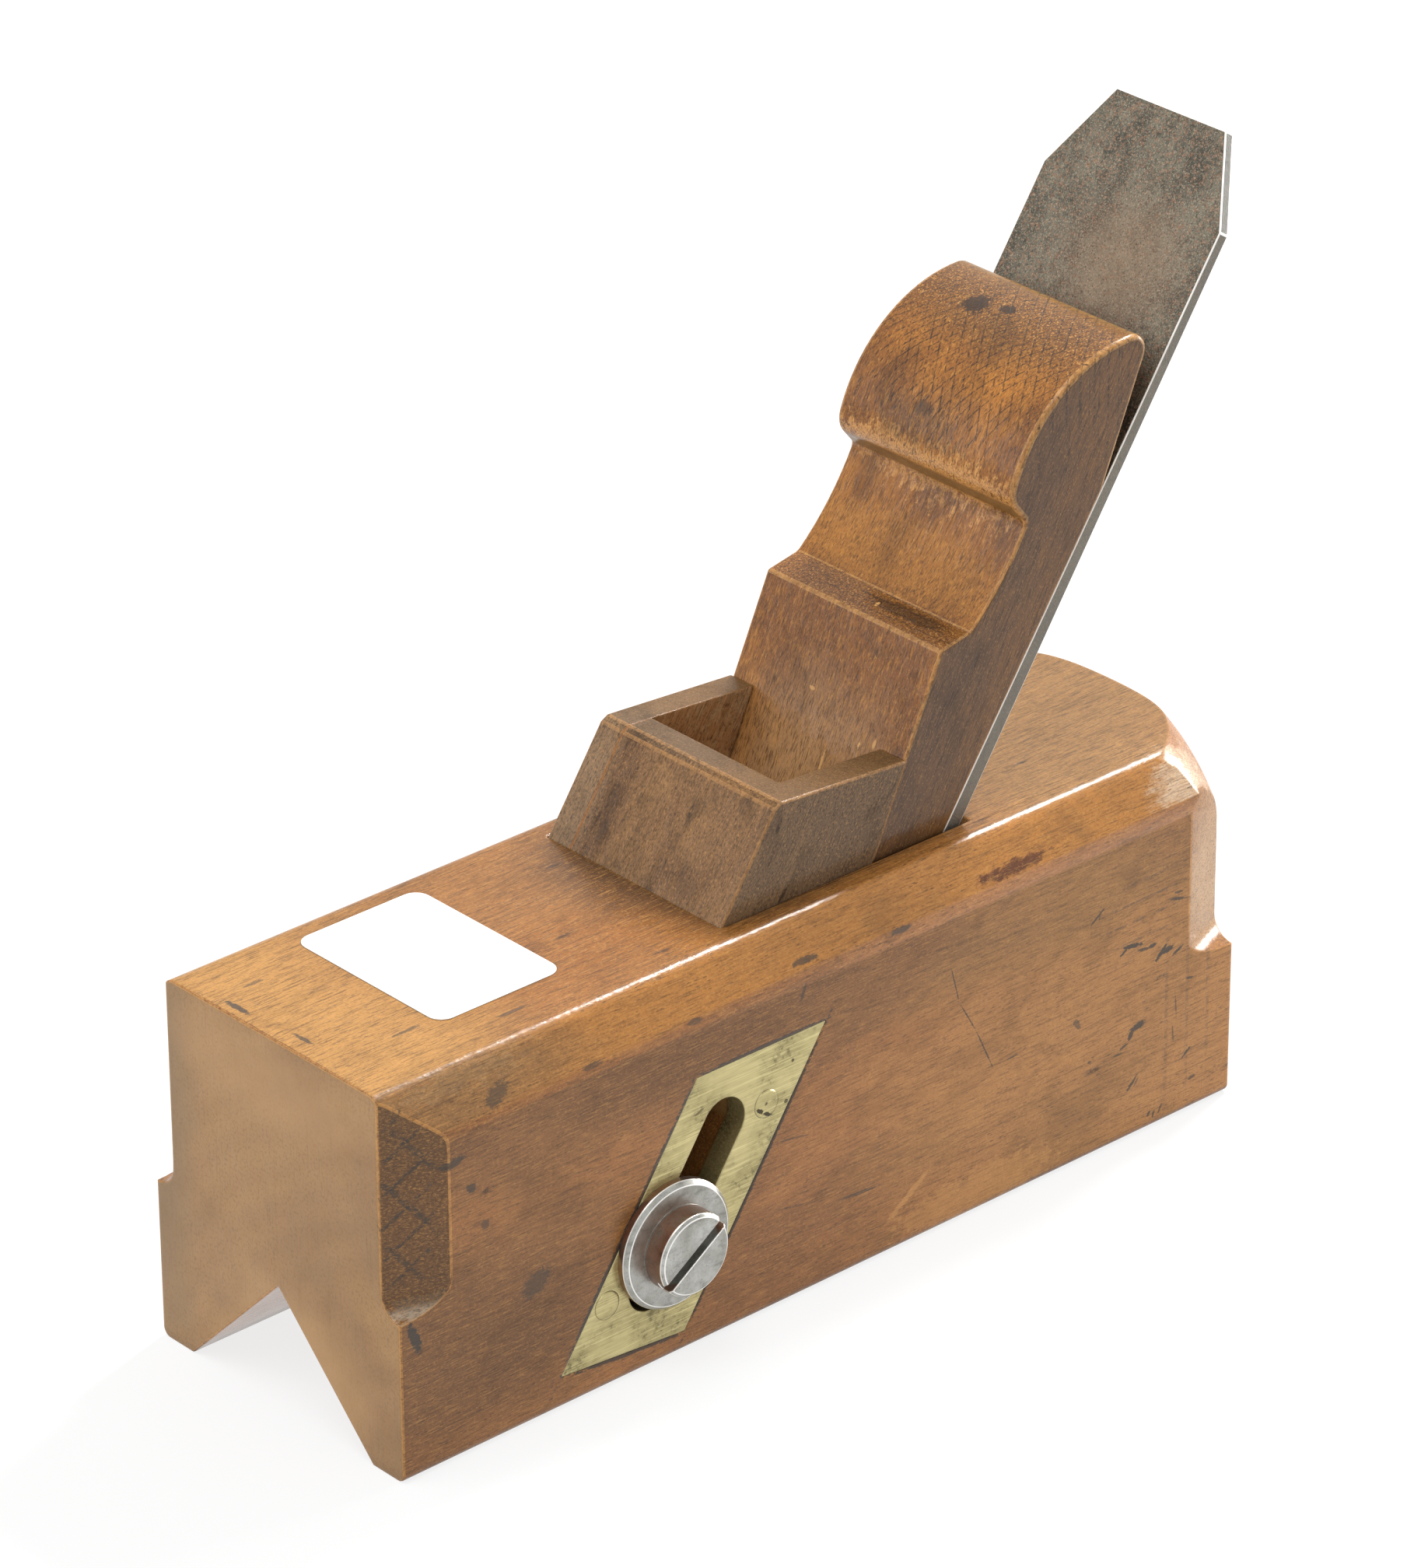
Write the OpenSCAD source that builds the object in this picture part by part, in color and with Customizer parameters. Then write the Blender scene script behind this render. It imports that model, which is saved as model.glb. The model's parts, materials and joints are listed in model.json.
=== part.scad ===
// Wooden chamfer plane with an adjustable inner box, a slotted brass side plate, an iron and a wedge.
// +Z is up, the toe faces -Y and the brass plate is on the +X side.
// The origin is on the plane of the feet, under the middle of the V sole.

/* [Stock] */
// Length of the stock, toe to heel
stock_len = 172; // [165:1:180]
// Width of the stock across its sides
stock_w = 57; // [56:0.5:60]
// Height of the stock, feet to top
stock_h = 63.7; // [61:0.1:67]
// How far the lengthwise top chamfers come in from each side
top_cham_in = 4.3; // [4.2:0.1:5.5]
// How far the lengthwise top chamfers run down each side
top_cham_down = 8.4; // [6:0.1:10]
// How far the upright corner chamfers come in from each side
end_cham_in = 4.1; // [3:0.1:4.1]
// How far the upright corner chamfers run along each side
end_cham_along = 9.9; // [7:0.1:12]
// Height of the shelf where the upright chamfers stop
stop_z = 27.2; // [25:0.1:30]
// Radius of the gouge that cut the chamfer stops
stop_r = 3.8; // [2:0.1:5]
// Rounding of the outer edges of the feet
foot_r = 1.6; // [0.8:0.1:2.4]
// Rounding, by hands, of the ridges between the top and its long chamfers
ridge_r = 2.8; // [1:0.1:4]
// Rounding of the softer ridges between the long chamfers and the sides
lower_ridge_r = 6; // [3:0.5:9]

/* [V sole] */
// Half the width of the V at the feet
vee_half_w = 21.3; // [20.8:0.1:22.5]
// Included angle of the V
vee_angle = 90; // [88:1:92]

/* [Rounded heel] */
// How far the top of the heel's arch would stand above the stock
heel_arch_rise = 1.3; // [0.8:0.1:2]
// Radius of the arch at the heel's end face
heel_arch_r = 28; // [27:0.5:30]
// How far the rounding of the heel runs along the stock
heel_sweep_len = 20; // [14:1:26]
// How much wider the arch is where the rounding starts
heel_sweep_out = 8.6; // [8.4:0.1:10]
// Radius that turns the rounding down into the end face
heel_rim_r = 7; // [3:0.5:9]

/* [Mortise] */
// Slope of the bed, the mortise and the box, from the sole
pitch = 56; // [54:0.5:58]
// From the toe to the mortise's front edge on the top
mortise_fore = 70.7; // [69:0.1:74]
// Length of the mortise on the top, front edge to bed
mortise_len = 50.2; // [49.5:0.1:52]
// Width of the mortise
mortise_w = 39.8; // [39:0.1:41]
// How far the bed's top edge is eased back
bed_ease = 1.4; // [0.5:0.1:2]
// Height of that easing
bed_ease_h = 3.2; // [1.5:0.1:5]

/* [Box] */
// Clearance between the box and each wall of the mortise
slide_gap = 0.1; // [0.05:0.01:0.2]
// Height of the box's sole above the feet, where it is clamped now
sole_z = 8.5; // [8:0.1:10]
// Height of the box's front top edge above the stock
box_rise = 16.9; // [14:0.1:20]
// How much the box's top falls towards the heel, in degrees
box_top_fall = 4.3; // [0:0.1:8]
// Thickness of the box's front wall at the top, along the plane
box_wall = 5.6; // [4.5:0.1:8]
// Thickness of the box's right cheek
cheek_right = 5.75; // [5:0.05:7]
// Thickness of the box's glued left cheek
cheek_left = 5.25; // [4.5:0.05:6.5]
// Opening of the mouth in front of the cutting edge
mouth = 1.5; // [0.8:0.1:2.5]
// Rounding of the worn top edges of the front wall
box_worn = 0.8; // [0.3:0.1:1.2]

/* [Iron] */
// Length of the iron
iron_len = 182; // [170:1:200]
// Width of the iron
iron_w = 38.5; // [37:0.1:38.6]
// Thickness at the cutting edge
iron_t_edge = 3.4; // [3:0.1:4]
// Thickness at the top
iron_t_top = 1.9; // [1.5:0.1:2.5]
// Grinding angle of the cutting bevel
iron_bevel = 27; // [23:1:35]
// How far the edge stands below the box's sole
iron_set = 0.25; // [0.1:0.05:0.6]
// Width of the top edge between the clipped corners
iron_top_w = 23.6; // [16:0.2:30]
// Length of each clipped corner
iron_clip = 14.7; // [8:0.1:20]
// Clearance between the iron and its bed
bed_gap = 0.05; // [0.02:0.01:0.1]

/* [Wedge] */
// Width of the wedge
wedge_w = 39; // [38:0.1:39.1]
// Angle between the wedge's front and back faces
wedge_angle = 9.9; // [9:0.1:11]
// Thickness of the wedge along the plane, level with the stock's top
wedge_t = 15.5; // [15:0.1:17]
// Height of the wedge's tip above the feet
wedge_tip_z = 17; // [15:0.5:22]
// Clearance on the wedge's faces
wedge_gap = 0.06; // [0.03:0.01:0.1]
// Height of the step above the stock
step_up = 30.8; // [28:0.1:34]
// Depth of the step's ledge
step_in = 6.2; // [4:0.1:7]
// How much the ledge rises inwards
ledge_rise = 1.2; // [0:0.1:2]
// Height of the quirk above the stock
quirk_up = 46.7; // [45:0.1:48]
// Distance of the quirk in front of the wedge's back, along the plane
quirk_t = 15.8; // [14:0.1:17]
// Hollow of the cove between step and quirk
cove_dip = 0.9; // [0.3:0.1:1.5]
// Radius of the rounded nose
nose_r = 26.3; // [25:0.1:28]
// Height of the nose's centre above the stock
nose_up = 44.7; // [43.5:0.1:46]
// How far the nose's centre lies behind the wedge's back, along the plane
nose_behind = 7.5; // [6.5:0.1:8.5]
// Radius of the lip above the quirk
lip_r = 4; // [3:0.1:4.5]
// Bearing from the nose's centre where the lip starts
lip_from = 161; // [155:1:165]
// Bearing from the lip's centre where it turns in to the quirk
lip_to = 222; // [215:1:230]
// Rounding of the wedge's top back corner
crown_r = 3; // [2:0.5:5]
// Bearing from the corner's centre where the back begins
crown_to = -25; // [-30:1:-20]
// Height above the stock where the back is relieved from the iron
relief_up = 47.9; // [40:0.5:50]
// Width of the escapement between the wedge's two prongs
escape_w = 26; // [22:0.5:28]
// Height of the escapement above the feet, at the iron
escape_z = 44; // [38:1:50]
// How much higher the escapement is at the wedge's front
escape_rise = 8; // [4:1:12]

/* [Side plate] */
// Thickness of the brass plate, let in flush
plate_t = 4; // [3:0.1:5]
// Height of the plate's top edge above the feet
plate_top_z = 46.5; // [44:0.1:49]
// Height of the plate's bottom edge at its toe-side corner
plate_foot_z = 5.7; // [4.5:0.1:7]
// How much lower the bottom edge is at its other corner
plate_skew = 2.1; // [0:0.1:3]
// Width of the plate, square to its slope
plate_w = 21.6; // [20:0.1:23]
// How far the plate's middle lies behind the slot, square to the slope
plate_shift = 0.9; // [0:0.1:2]
// Gap round the plate in its recess
plate_gap = 0.06; // [0.02:0.01:0.1]
// Head diameter of the plate's fixing screws
fixing_head_d = 4.8; // [4:0.1:5]
// Shank diameter of the plate's fixing screws
fixing_d = 2.6; // [2:0.1:3]
// How far short of the mortise the plate's fixing screws stop
fixing_short = 1.1; // [0.5:0.1:2.5]
// Distance of each fixing beyond the slot's end centre, up or down the slope
fixing_up = 4.8; // [3:0.1:5.5]
// Distance of each fixing from the slot's middle line, square to it
fixing_side = 7.1; // [6.8:0.1:7.3]

/* [Clamp screw] */
// Width of the slot in the plate
slot_w = 8.5; // [8.3:0.1:9]
// How much wider the slot in the wood is, on each side
slot_ease = 0.4; // [0.1:0.1:0.6]
// Diameter of the clamp screw
screw_d = 7.9; // [7:0.1:8]
// Height of the screw above the feet, where it is clamped now
screw_z = 20.5; // [19:0.1:22]
// Distance of the screw behind the box's front face, square to the slope
screw_back = 9; // [8.5:0.1:11]
// Travel of the screw down the slot from where it is clamped
travel_down = 7.4; // [5:0.1:7.4]
// Travel of the screw up the slot from where it is clamped
travel_up = 19.6; // [15:0.1:20]
// Space left at the ends of the slot at full travel
slot_end_gap = 0.2; // [0.1:0.05:0.4]
// Head diameter of the clamp screw
head_d = 13.6; // [12:0.1:15]
// Height of the clamp screw's head
head_h = 3.9; // [3:0.1:5]
// Width of the driver slot
driver_w = 1.7; // [1.2:0.1:2]
// Depth of the driver slot
driver_deep = 1.9; // [1:0.1:2.2]
// Angle of the driver slot from upright
driver_turn = -56; // [-90:1:90]
// Bevel round the head's front edge
head_bevel = 0.5; // [0.2:0.1:1]
// Diameter of the washer
washer_d = 21.2; // [19:0.1:23]
// Thickness of the washer
washer_t = 1.9; // [1.2:0.1:2.5]
// Bevel round the washer's front edge
washer_bevel = 0.7; // [0.3:0.1:1]
// Radial clearance of the screw in the washer
washer_play = 0.2; // [0.1:0.05:0.3]
// How far the screw reaches past the nut plate
screw_past = 6; // [3:0.5:9]

/* [Nut plate] */
// Length of the nut plate, along the slope
nut_len = 18; // [17:0.5:18.5]
// Width of the nut plate, square to the slope
nut_w = 13; // [12.5:0.5:14]
// Thickness of the nut plate
nut_t = 4; // [3:0.1:5]
// Gap round the nut plate in its recess
nut_gap = 0.05; // [0.02:0.01:0.1]
// Running clearance of the clamp screw's thread
thread_gap = 0.05; // [0.02:0.01:0.09]
// Head diameter of the nut plate's two wood screws
nut_screw_head_d = 3.6; // [3:0.1:3.8]
// Shank diameter of the nut plate's two wood screws
nut_screw_d = 1.9; // [1.6:0.1:2.1]
// Length of the nut plate's two wood screws
nut_screw_len = 10; // [8:0.5:12]
// Distance of each wood screw from the edges of the nut plate
nut_screw_in = 2.3; // [2.2:0.1:2.5]

/* [Hidden] */

$fn = 72;
fit_gap = 0.03;   // gap between faces that bear on each other
cut = 1;          // how far a cutter runs past the wood

beech = "#b57a3c";
old_beech = "#8a5a30";
steel = "#8d8c88";
dark_iron = "#5a4f48";
brass = "#b3a04f";

half_w = stock_w / 2;
half_len = stock_len / 2;
vee_depth = vee_half_w / tan(vee_angle / 2);

// Lines of the mortise, read at a height z. A thickness square to the slope is wider along the plane.
function along(t) = t / sin(pitch);
function slope_y(z) = (z - stock_h) / tan(pitch);
mortise_y = mortise_fore - half_len;
function mortise_front(z) = mortise_y + slope_y(z);
function bed(z) = mortise_y + mortise_len + slope_y(z);
function box_front(z) = mortise_front(z) + along(slide_gap);

// The iron tapers, so its face leans back a little more than its bed.
iron_taper = atan((iron_t_edge - iron_t_top) / iron_len);
face_pitch = pitch - iron_taper;
edge_z = sole_z - iron_set;
iron_foot_z = edge_z - (iron_t_edge + bed_gap) * cos(pitch);
edge_y = bed(iron_foot_z) - (iron_t_edge + bed_gap) * sin(pitch);
function iron_face(z) = edge_y + (z - edge_z) / tan(face_pitch);

// The wedge's back lies on the iron, and its front on the cheeks of the box.
front_pitch = face_pitch + wedge_angle;
function wedge_back(z) = iron_face(z) - wedge_gap / sin(face_pitch);
function wedge_front(z) = wedge_back(stock_h) - wedge_t + (z - stock_h) / tan(front_pitch);
function cheek_rear(z) = wedge_front(z) - wedge_gap / sin(front_pitch);

// The clamp screw and its slot.
screw_y = box_front(screw_z) + along(screw_back);
washer_x = half_w + fit_gap;
head_x = washer_x + washer_t + fit_gap;
box_half_w = mortise_w / 2 - slide_gap;
nut_x = box_half_w - nut_t;
fixing_len = half_w - mortise_w / 2 - fixing_short;

function flip(points) = [for (i = [len(points) - 1:-1:0]) [-points[i][0], points[i][1]]];
function bearing(a) = [cos(a), sin(a)];

// A side view, drawn in [y, z], made solid from x0 to x1.
module side_solid(x0, x1)
    translate([x0, 0, 0]) rotate([90, 0, 90]) linear_extrude(x1 - x0) children();
module side_cut(points, x0, x1) side_solid(x0, x1) polygon(points);

// A frame on the slope through [y, z]: its Y runs up the slope and its Z stands square to it.
module on_slope(y, z, angle = pitch) translate([0, y, z]) rotate([angle, 0, 0]) children();

// A cylinder along +X, from x0, placed up the slope and square to it from the clamp screw.
module across(x0, length, d1, d2, up = 0, side = 0)
    on_slope(screw_y, screw_z) translate([x0, up, side]) rotate([0, 90, 0])
        cylinder(h = length, d1 = d1, d2 = d2);

// Stock

// Both ridges of the long chamfer are worn round. Each round starts this far from its ridge.
top_ridge = [half_w - top_cham_in, stock_h];
low_ridge = [half_w, stock_h - top_cham_down];
cham_lean = atan(top_cham_down / top_cham_in);
ridge_reach = ridge_r * tan(cham_lean / 2);
lower_reach = lower_ridge_r * tan((90 - cham_lean) / 2);
cham_dir = (low_ridge - top_ridge) / norm(low_ridge - top_ridge);

module stock_bar() {
    half = [[0, vee_depth], [vee_half_w, 0], [half_w - foot_r, 0], [half_w, foot_r],
            low_ridge - [0, lower_reach], low_ridge - lower_reach * cham_dir,
            top_ridge + ridge_reach * cham_dir, top_ridge - [ridge_reach, 0]];
    rotate([90, 0, 0]) linear_extrude(stock_len, center = true) {
        polygon(concat(half, flip(half)));
        for (side = [0, 1]) mirror([side, 0]) {
            translate([half_w - foot_r, foot_r]) circle(foot_r);
            translate(top_ridge - [ridge_reach, ridge_r]) circle(ridge_r);
            translate(low_ridge - [lower_ridge_r, lower_reach]) circle(lower_ridge_r, $fn = 120);
        }
    }
}

// Cutter for one upright chamfer at the toe's right corner, ending in a gouge-cut stop.
module corner_cutter() {
    reach = 2 * end_cham_in;
    width = 3 * end_cham_along;
    high = stock_h + cut - stop_z;
    translate([half_w - end_cham_in / 2, end_cham_along / 2 - half_len, stop_z])
        rotate([0, 0, -atan(end_cham_in / end_cham_along)])
            rotate([90, 0, 0]) linear_extrude(width, center = true) {
                translate([0, stop_r]) square([reach, high - stop_r]);
                translate([stop_r, 0]) square([reach - stop_r, high]);
                translate([stop_r, stop_r]) circle(stop_r);
            }
}

// The heel is rounded over in an arch that widens towards the mortise. Its profile is a long sweep,
// then a tighter turn that meets the end face almost flat. The turn's circle is a hair larger than
// one that would only touch the sweep, so the two cross in a clean line.
module heel_cutter() {
    sweep_r = (pow(heel_sweep_len, 2) + pow(heel_sweep_out, 2)) / (2 * heel_sweep_out);
    start = half_len - heel_sweep_len;
    widest = heel_arch_r + heel_sweep_out;
    axis_z = stock_h + heel_arch_rise - heel_arch_r;
    sweep_c = [widest - sweep_r, 0];
    rim_up = heel_sweep_len + fit_gap - heel_rim_r;
    rim_c = sweep_c + [sqrt(pow(sweep_r - heel_rim_r, 2) - pow(rim_up, 2)), rim_up];
    turn_at = sweep_c + sweep_r * (rim_c - sweep_c) / norm(rim_c - sweep_c);
    difference() {
        translate([-stock_w, start, axis_z]) cube([2 * stock_w, heel_sweep_len + cut, stock_h]);
        translate([0, start, axis_z]) rotate([-90, 0, 0]) rotate_extrude($fn = 120) {
            translate([0, -cut]) square([widest, cut]);
            intersection() {
                translate(sweep_c) circle(sweep_r, $fn = 120);
                polygon([[0, -cut / 2], [widest, -cut / 2], [widest, 0],
                         [widest, turn_at[1]], turn_at, rim_c, [0, rim_c[1]]]);
            }
            translate([0, rim_c[1] - cut / 2]) square([rim_c[0], heel_rim_r + cut / 2]);
            translate(rim_c) circle(heel_rim_r + fit_gap, $fn = 72);
        }
    }
}

module mortise() {
    low = -cut;
    high = stock_h + cut;
    side_cut([
        [mortise_front(low), low], [bed(low), low],
        [bed(stock_h - bed_ease_h), stock_h - bed_ease_h],
        [bed(stock_h) + bed_ease, stock_h], [bed(stock_h) + bed_ease, high],
        [mortise_front(stock_h), high], [mortise_front(stock_h), stock_h]
    ], -mortise_w / 2, mortise_w / 2);
}

// Outline of the brass plate, a parallelogram that follows the slope.
function plate_outline(gap) =
    let (
        mid = function(z) screw_y + along(plate_shift) + (z - screw_z) / tan(pitch),
        reach = along(plate_w / 2 - gap),
        low_a = plate_foot_z + gap,
        low_b = plate_foot_z - plate_skew + gap,
        high = plate_top_z - gap)
    [[mid(low_a) - reach, low_a], [mid(low_b) + reach, low_b],
     [mid(high) + reach, high], [mid(high) - reach, high]];

// The slot, from x0 to x1. The screw stops just short of each end.
slot_low = slot_w / 2 - screw_d / 2 - slot_end_gap - travel_down;
slot_high = travel_up + slot_end_gap + screw_d / 2 - slot_w / 2;
module slot_cut(x0, x1, width) {
    for (up = [slot_low, slot_high]) across(x0, x1 - x0, width, width, up);
    on_slope(screw_y, screw_z) translate([x0, slot_low, -width / 2])
        cube([x1 - x0, slot_high - slot_low, width]);
}

// A countersunk screw along +X whose head ends at x, or its hole, wider by gap.
module sunk_screw(x, spot, head, shank, length, gap = 0) {
    sink = (head - shank) / 2;
    hole = shank + 2 * gap;
    across(x - sink - gap, sink + gap, hole, head + 2 * gap, spot[0], spot[1]);
    across(x - length - gap, length - sink + gap, hole, hole, spot[0], spot[1]);
}

// The fixings stand behind the slot's top end and before its bottom end.
module fixings(gap = 0)
    for (spot = [[slot_high + fixing_up, -fixing_side], [slot_low - fixing_up, fixing_side]])
        sunk_screw(half_w, spot, fixing_head_d, fixing_d, fixing_len, gap);

module stock() color(beech) difference() {
    stock_bar();
    for (x = [0, 1]) for (y = [0, 1]) mirror([x, 0, 0]) mirror([0, y, 0]) corner_cutter();
    heel_cutter();
    mortise();
    side_cut(plate_outline(0), half_w - plate_t, half_w + cut);
    slot_cut(0, half_w, slot_w + 2 * slot_ease);
    fixings(fit_gap);
}

module slot_plate() color(brass) difference() {
    side_cut(plate_outline(plate_gap), half_w - plate_t, half_w);
    slot_cut(half_w - plate_t - cut, half_w + cut, slot_w);
    fixings(fit_gap);
}

module plate_screws() color(brass) fixings();

// Box

box_top_z = stock_h + box_rise;
function box_top(y) = box_top_z - (y - box_front(box_top_z)) * tan(box_top_fall);
rear_top_y = cheek_rear(box_top_z - 2);
rear_top = [rear_top_y, box_top(rear_top_y)];
mouth_y = edge_y - mouth;

box_outline = [
    [box_front(sole_z), sole_z], [cheek_rear(sole_z), sole_z],
    [cheek_rear(rear_top[1]), rear_top[1]],
    [box_front(box_top_z) + box_worn, box_top(box_front(box_top_z) + box_worn)],
    [box_front(box_top_z - box_worn), box_top_z - box_worn]];

// The throat, from behind the front wall down to the mouth.
module throat() {
    wall_y = box_front(box_top_z) + box_wall;
    high = box_top_z + cut;
    lean = (wall_y - mouth_y) / (box_top_z - sole_z);
    side_cut([
        [mouth_y - cut * lean, sole_z - cut], [cheek_rear(sole_z) + 2 * mortise_len, sole_z - cut],
        [cheek_rear(high) + mortise_len, high], [wall_y + cut * lean, high]
    ], -box_half_w, box_half_w - cheek_right);
}

// The nut plate's wood screws stand in two opposite corners of it.
module nut_screws(gap = 0) {
    spot = [nut_len / 2 - nut_screw_in, nut_w / 2 - nut_screw_in];
    for (turn = [-1, 1])
        sunk_screw(box_half_w, turn * spot, nut_screw_head_d, nut_screw_d, nut_screw_len, gap);
}

module box_block() color(old_beech) difference() {
    side_cut(box_outline, cheek_left - box_half_w, box_half_w);
    throat();
    on_slope(screw_y, screw_z) translate([nut_x, -nut_len / 2, -nut_w / 2])
        cube([nut_t + cut, nut_len, nut_w]);
    across(nut_x - screw_past - cut, screw_past + 2 * cut, screw_d + 1, screw_d + 1);
    nut_screws(fit_gap);
}

module box_left_cheek() color(old_beech)
    side_cut(box_outline, -box_half_w, cheek_left - box_half_w);

module nut_plate() color(steel) difference() {
    on_slope(screw_y, screw_z) translate([nut_x, nut_gap - nut_len / 2, nut_gap - nut_w / 2])
        cube([nut_t, nut_len - 2 * nut_gap, nut_w - 2 * nut_gap]);
    bore = screw_d + 2 * thread_gap;
    across(nut_x - cut, nut_t + 2 * cut, bore, bore);
    nut_screws(fit_gap);
}

module nut_plate_screws() color(steel) nut_screws();

// Clamp screw and washer

module clamp_washer() color(steel) difference() {
    union() {
        across(washer_x, washer_t - washer_bevel, washer_d, washer_d);
        across(washer_x + washer_t - washer_bevel, washer_bevel, washer_d, washer_d - 2 * washer_bevel);
    }
    bore = screw_d + 2 * washer_play;
    across(washer_x - cut, washer_t + 2 * cut, bore, bore);
}

module clamp_screw() color(steel) difference() {
    foot = nut_x - screw_past;
    union() {
        across(foot, head_x - foot, screw_d, screw_d);
        across(head_x, head_h - head_bevel, head_d, head_d);
        across(head_x + head_h - head_bevel, head_bevel, head_d, head_d - 2 * head_bevel);
    }
    translate([head_x + head_h - driver_deep, screw_y, screw_z]) rotate([driver_turn, 0, 0])
        translate([0, -driver_w / 2, -head_d]) cube([head_h, driver_w, 2 * head_d]);
}

// Iron, tapered in thickness, with its top corners clipped

module iron() color(dark_iron) on_slope(edge_y, edge_z) translate([0, 0, -iron_t_edge]) {
    bevel_len = iron_t_edge / tan(iron_bevel);
    clip_y = iron_len - iron_clip;
    intersection() {
        side_cut([[0, iron_t_edge], [bevel_len, 0], [iron_len, 0], [iron_len, iron_t_top]],
            -iron_w / 2, iron_w / 2);
        linear_extrude(iron_t_edge + cut) polygon([
            [-iron_w / 2, -cut], [iron_w / 2, -cut], [iron_w / 2, clip_y],
            [iron_top_w / 2, iron_len], [-iron_top_w / 2, iron_len], [-iron_w / 2, clip_y]]);
    }
}

// Wedge, with a step, a shallow cove, a quirk and a rounded nose

step_z = stock_h + step_up;
ledge = [wedge_front(step_z) + step_in, step_z + ledge_rise];
quirk = [wedge_back(stock_h + quirk_up) - quirk_t, stock_h + quirk_up];
relief_z = stock_h + relief_up;
nose_c = [wedge_back(stock_h + nose_up) + nose_behind, stock_h + nose_up];
crown_c = nose_c + [0, nose_r - crown_r];
lip_c = nose_c + (nose_r - lip_r) * bearing(lip_from);

module wedge_outline() {
    polygon([
        [wedge_back(wedge_tip_z), wedge_tip_z], [wedge_back(relief_z), relief_z],
        crown_c + crown_r * bearing(crown_to), crown_c, lip_c,
        lip_c + lip_r * bearing(lip_to), quirk, ledge,
        [wedge_front(step_z), step_z], [wedge_front(wedge_tip_z), wedge_tip_z]]);
    translate(crown_c) circle(crown_r);
    translate(lip_c) circle(lip_r);
    intersection() {
        translate(nose_c) circle(nose_r, $fn = 120);
        polygon([crown_c, crown_c + [0, nose_r], lip_c + nose_r * bearing(lip_from), lip_c]);
    }
}

// The hollow of the cove, taken off the straight line from ledge to quirk.
module cove() {
    chord = quirk - ledge;
    inward = [chord[1], -chord[0]] / norm(chord);
    cove_r = (pow(norm(chord) / 2, 2) + pow(cove_dip, 2)) / (2 * cove_dip);
    intersection() {
        translate((ledge + quirk) / 2 - (cove_r - cove_dip) * inward) circle(cove_r, $fn = 180);
        polygon([ledge - cut * inward, ledge + 2 * cove_dip * inward,
                 quirk + 2 * cove_dip * inward, quirk - cut * inward]);
    }
}

// Two prongs are left either side of the escapement, which lets the shavings up.
module wedge() color(old_beech) difference() {
    side_solid(-wedge_w / 2, wedge_w / 2) difference() {
        wedge_outline();
        cove();
    }
    low = wedge_tip_z - cut;
    high = escape_z + escape_rise;
    side_cut([
        [wedge_front(low) - cut, low], [wedge_back(low) + cut, low],
        [wedge_back(escape_z) + cut, escape_z], [wedge_front(high) - cut, high]
    ], -escape_w / 2, escape_w / 2);
}

stock();
slot_plate();
plate_screws();
box_block();
box_left_cheek();
nut_plate();
nut_plate_screws();
clamp_washer();
clamp_screw();
iron();
wedge();
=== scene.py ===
import bpy
import bmesh
import json
import math
from mathutils import Matrix, Vector


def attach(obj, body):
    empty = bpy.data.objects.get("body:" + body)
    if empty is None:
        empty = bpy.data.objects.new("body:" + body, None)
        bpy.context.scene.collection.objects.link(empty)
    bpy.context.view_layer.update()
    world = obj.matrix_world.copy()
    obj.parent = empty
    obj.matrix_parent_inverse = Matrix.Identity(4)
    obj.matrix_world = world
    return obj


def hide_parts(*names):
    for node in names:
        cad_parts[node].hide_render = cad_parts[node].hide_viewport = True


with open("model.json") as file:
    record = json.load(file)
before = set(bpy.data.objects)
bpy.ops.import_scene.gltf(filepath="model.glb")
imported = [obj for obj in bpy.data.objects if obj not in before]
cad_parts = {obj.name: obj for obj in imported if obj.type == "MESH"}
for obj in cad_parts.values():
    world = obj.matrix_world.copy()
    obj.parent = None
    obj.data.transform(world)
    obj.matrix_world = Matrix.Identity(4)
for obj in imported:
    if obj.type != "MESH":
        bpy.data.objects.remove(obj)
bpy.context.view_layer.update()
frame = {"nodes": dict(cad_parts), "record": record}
mm = 0.001
boxPitch = 56       # degrees: slope of the mortise, and so of the box and the iron
wedgePitch = 60     # degrees: slope of the wedge's grain


def linear(hexColour):
    # sRGB hex to the linear colour that the shaders take
    parts = [int(hexColour[i:i + 2], 16) / 255 for i in (1, 3, 5)]
    return [p / 12.92 if p <= 0.04045 else ((p + 0.055) / 1.055) ** 2.4 for p in parts] + [1.0]


def add(tree, kind, inputs=None, output=None, **settings):
    # one node with its settings; an input is a value or the socket that feeds it.
    # What comes back is the node, or the output that is asked for
    made = tree.nodes.new(kind)
    for name, value in settings.items():
        setattr(made, name, value)
    for name, value in (inputs or {}).items():
        if isinstance(value, bpy.types.NodeSocket):
            tree.links.new(value, made.inputs[name])
        else:
            made.inputs[name].default_value = value
    return made if output is None else made.outputs[output]


def newMaterial(name):
    material = bpy.data.materials.new(name)
    material.use_nodes = True
    material.node_tree.nodes.clear()
    return material, material.node_tree


def surfacePlaces(tree):
    # the places on a piece in mm, and the way that its faces look
    place = add(tree, "ShaderNodeTexCoord")
    point = add(tree, "ShaderNodeMapping", {"Vector": place.outputs["Object"],
                "Scale": [1 / mm] * 3}, 0)
    return point, place.outputs["Normal"]


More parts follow.
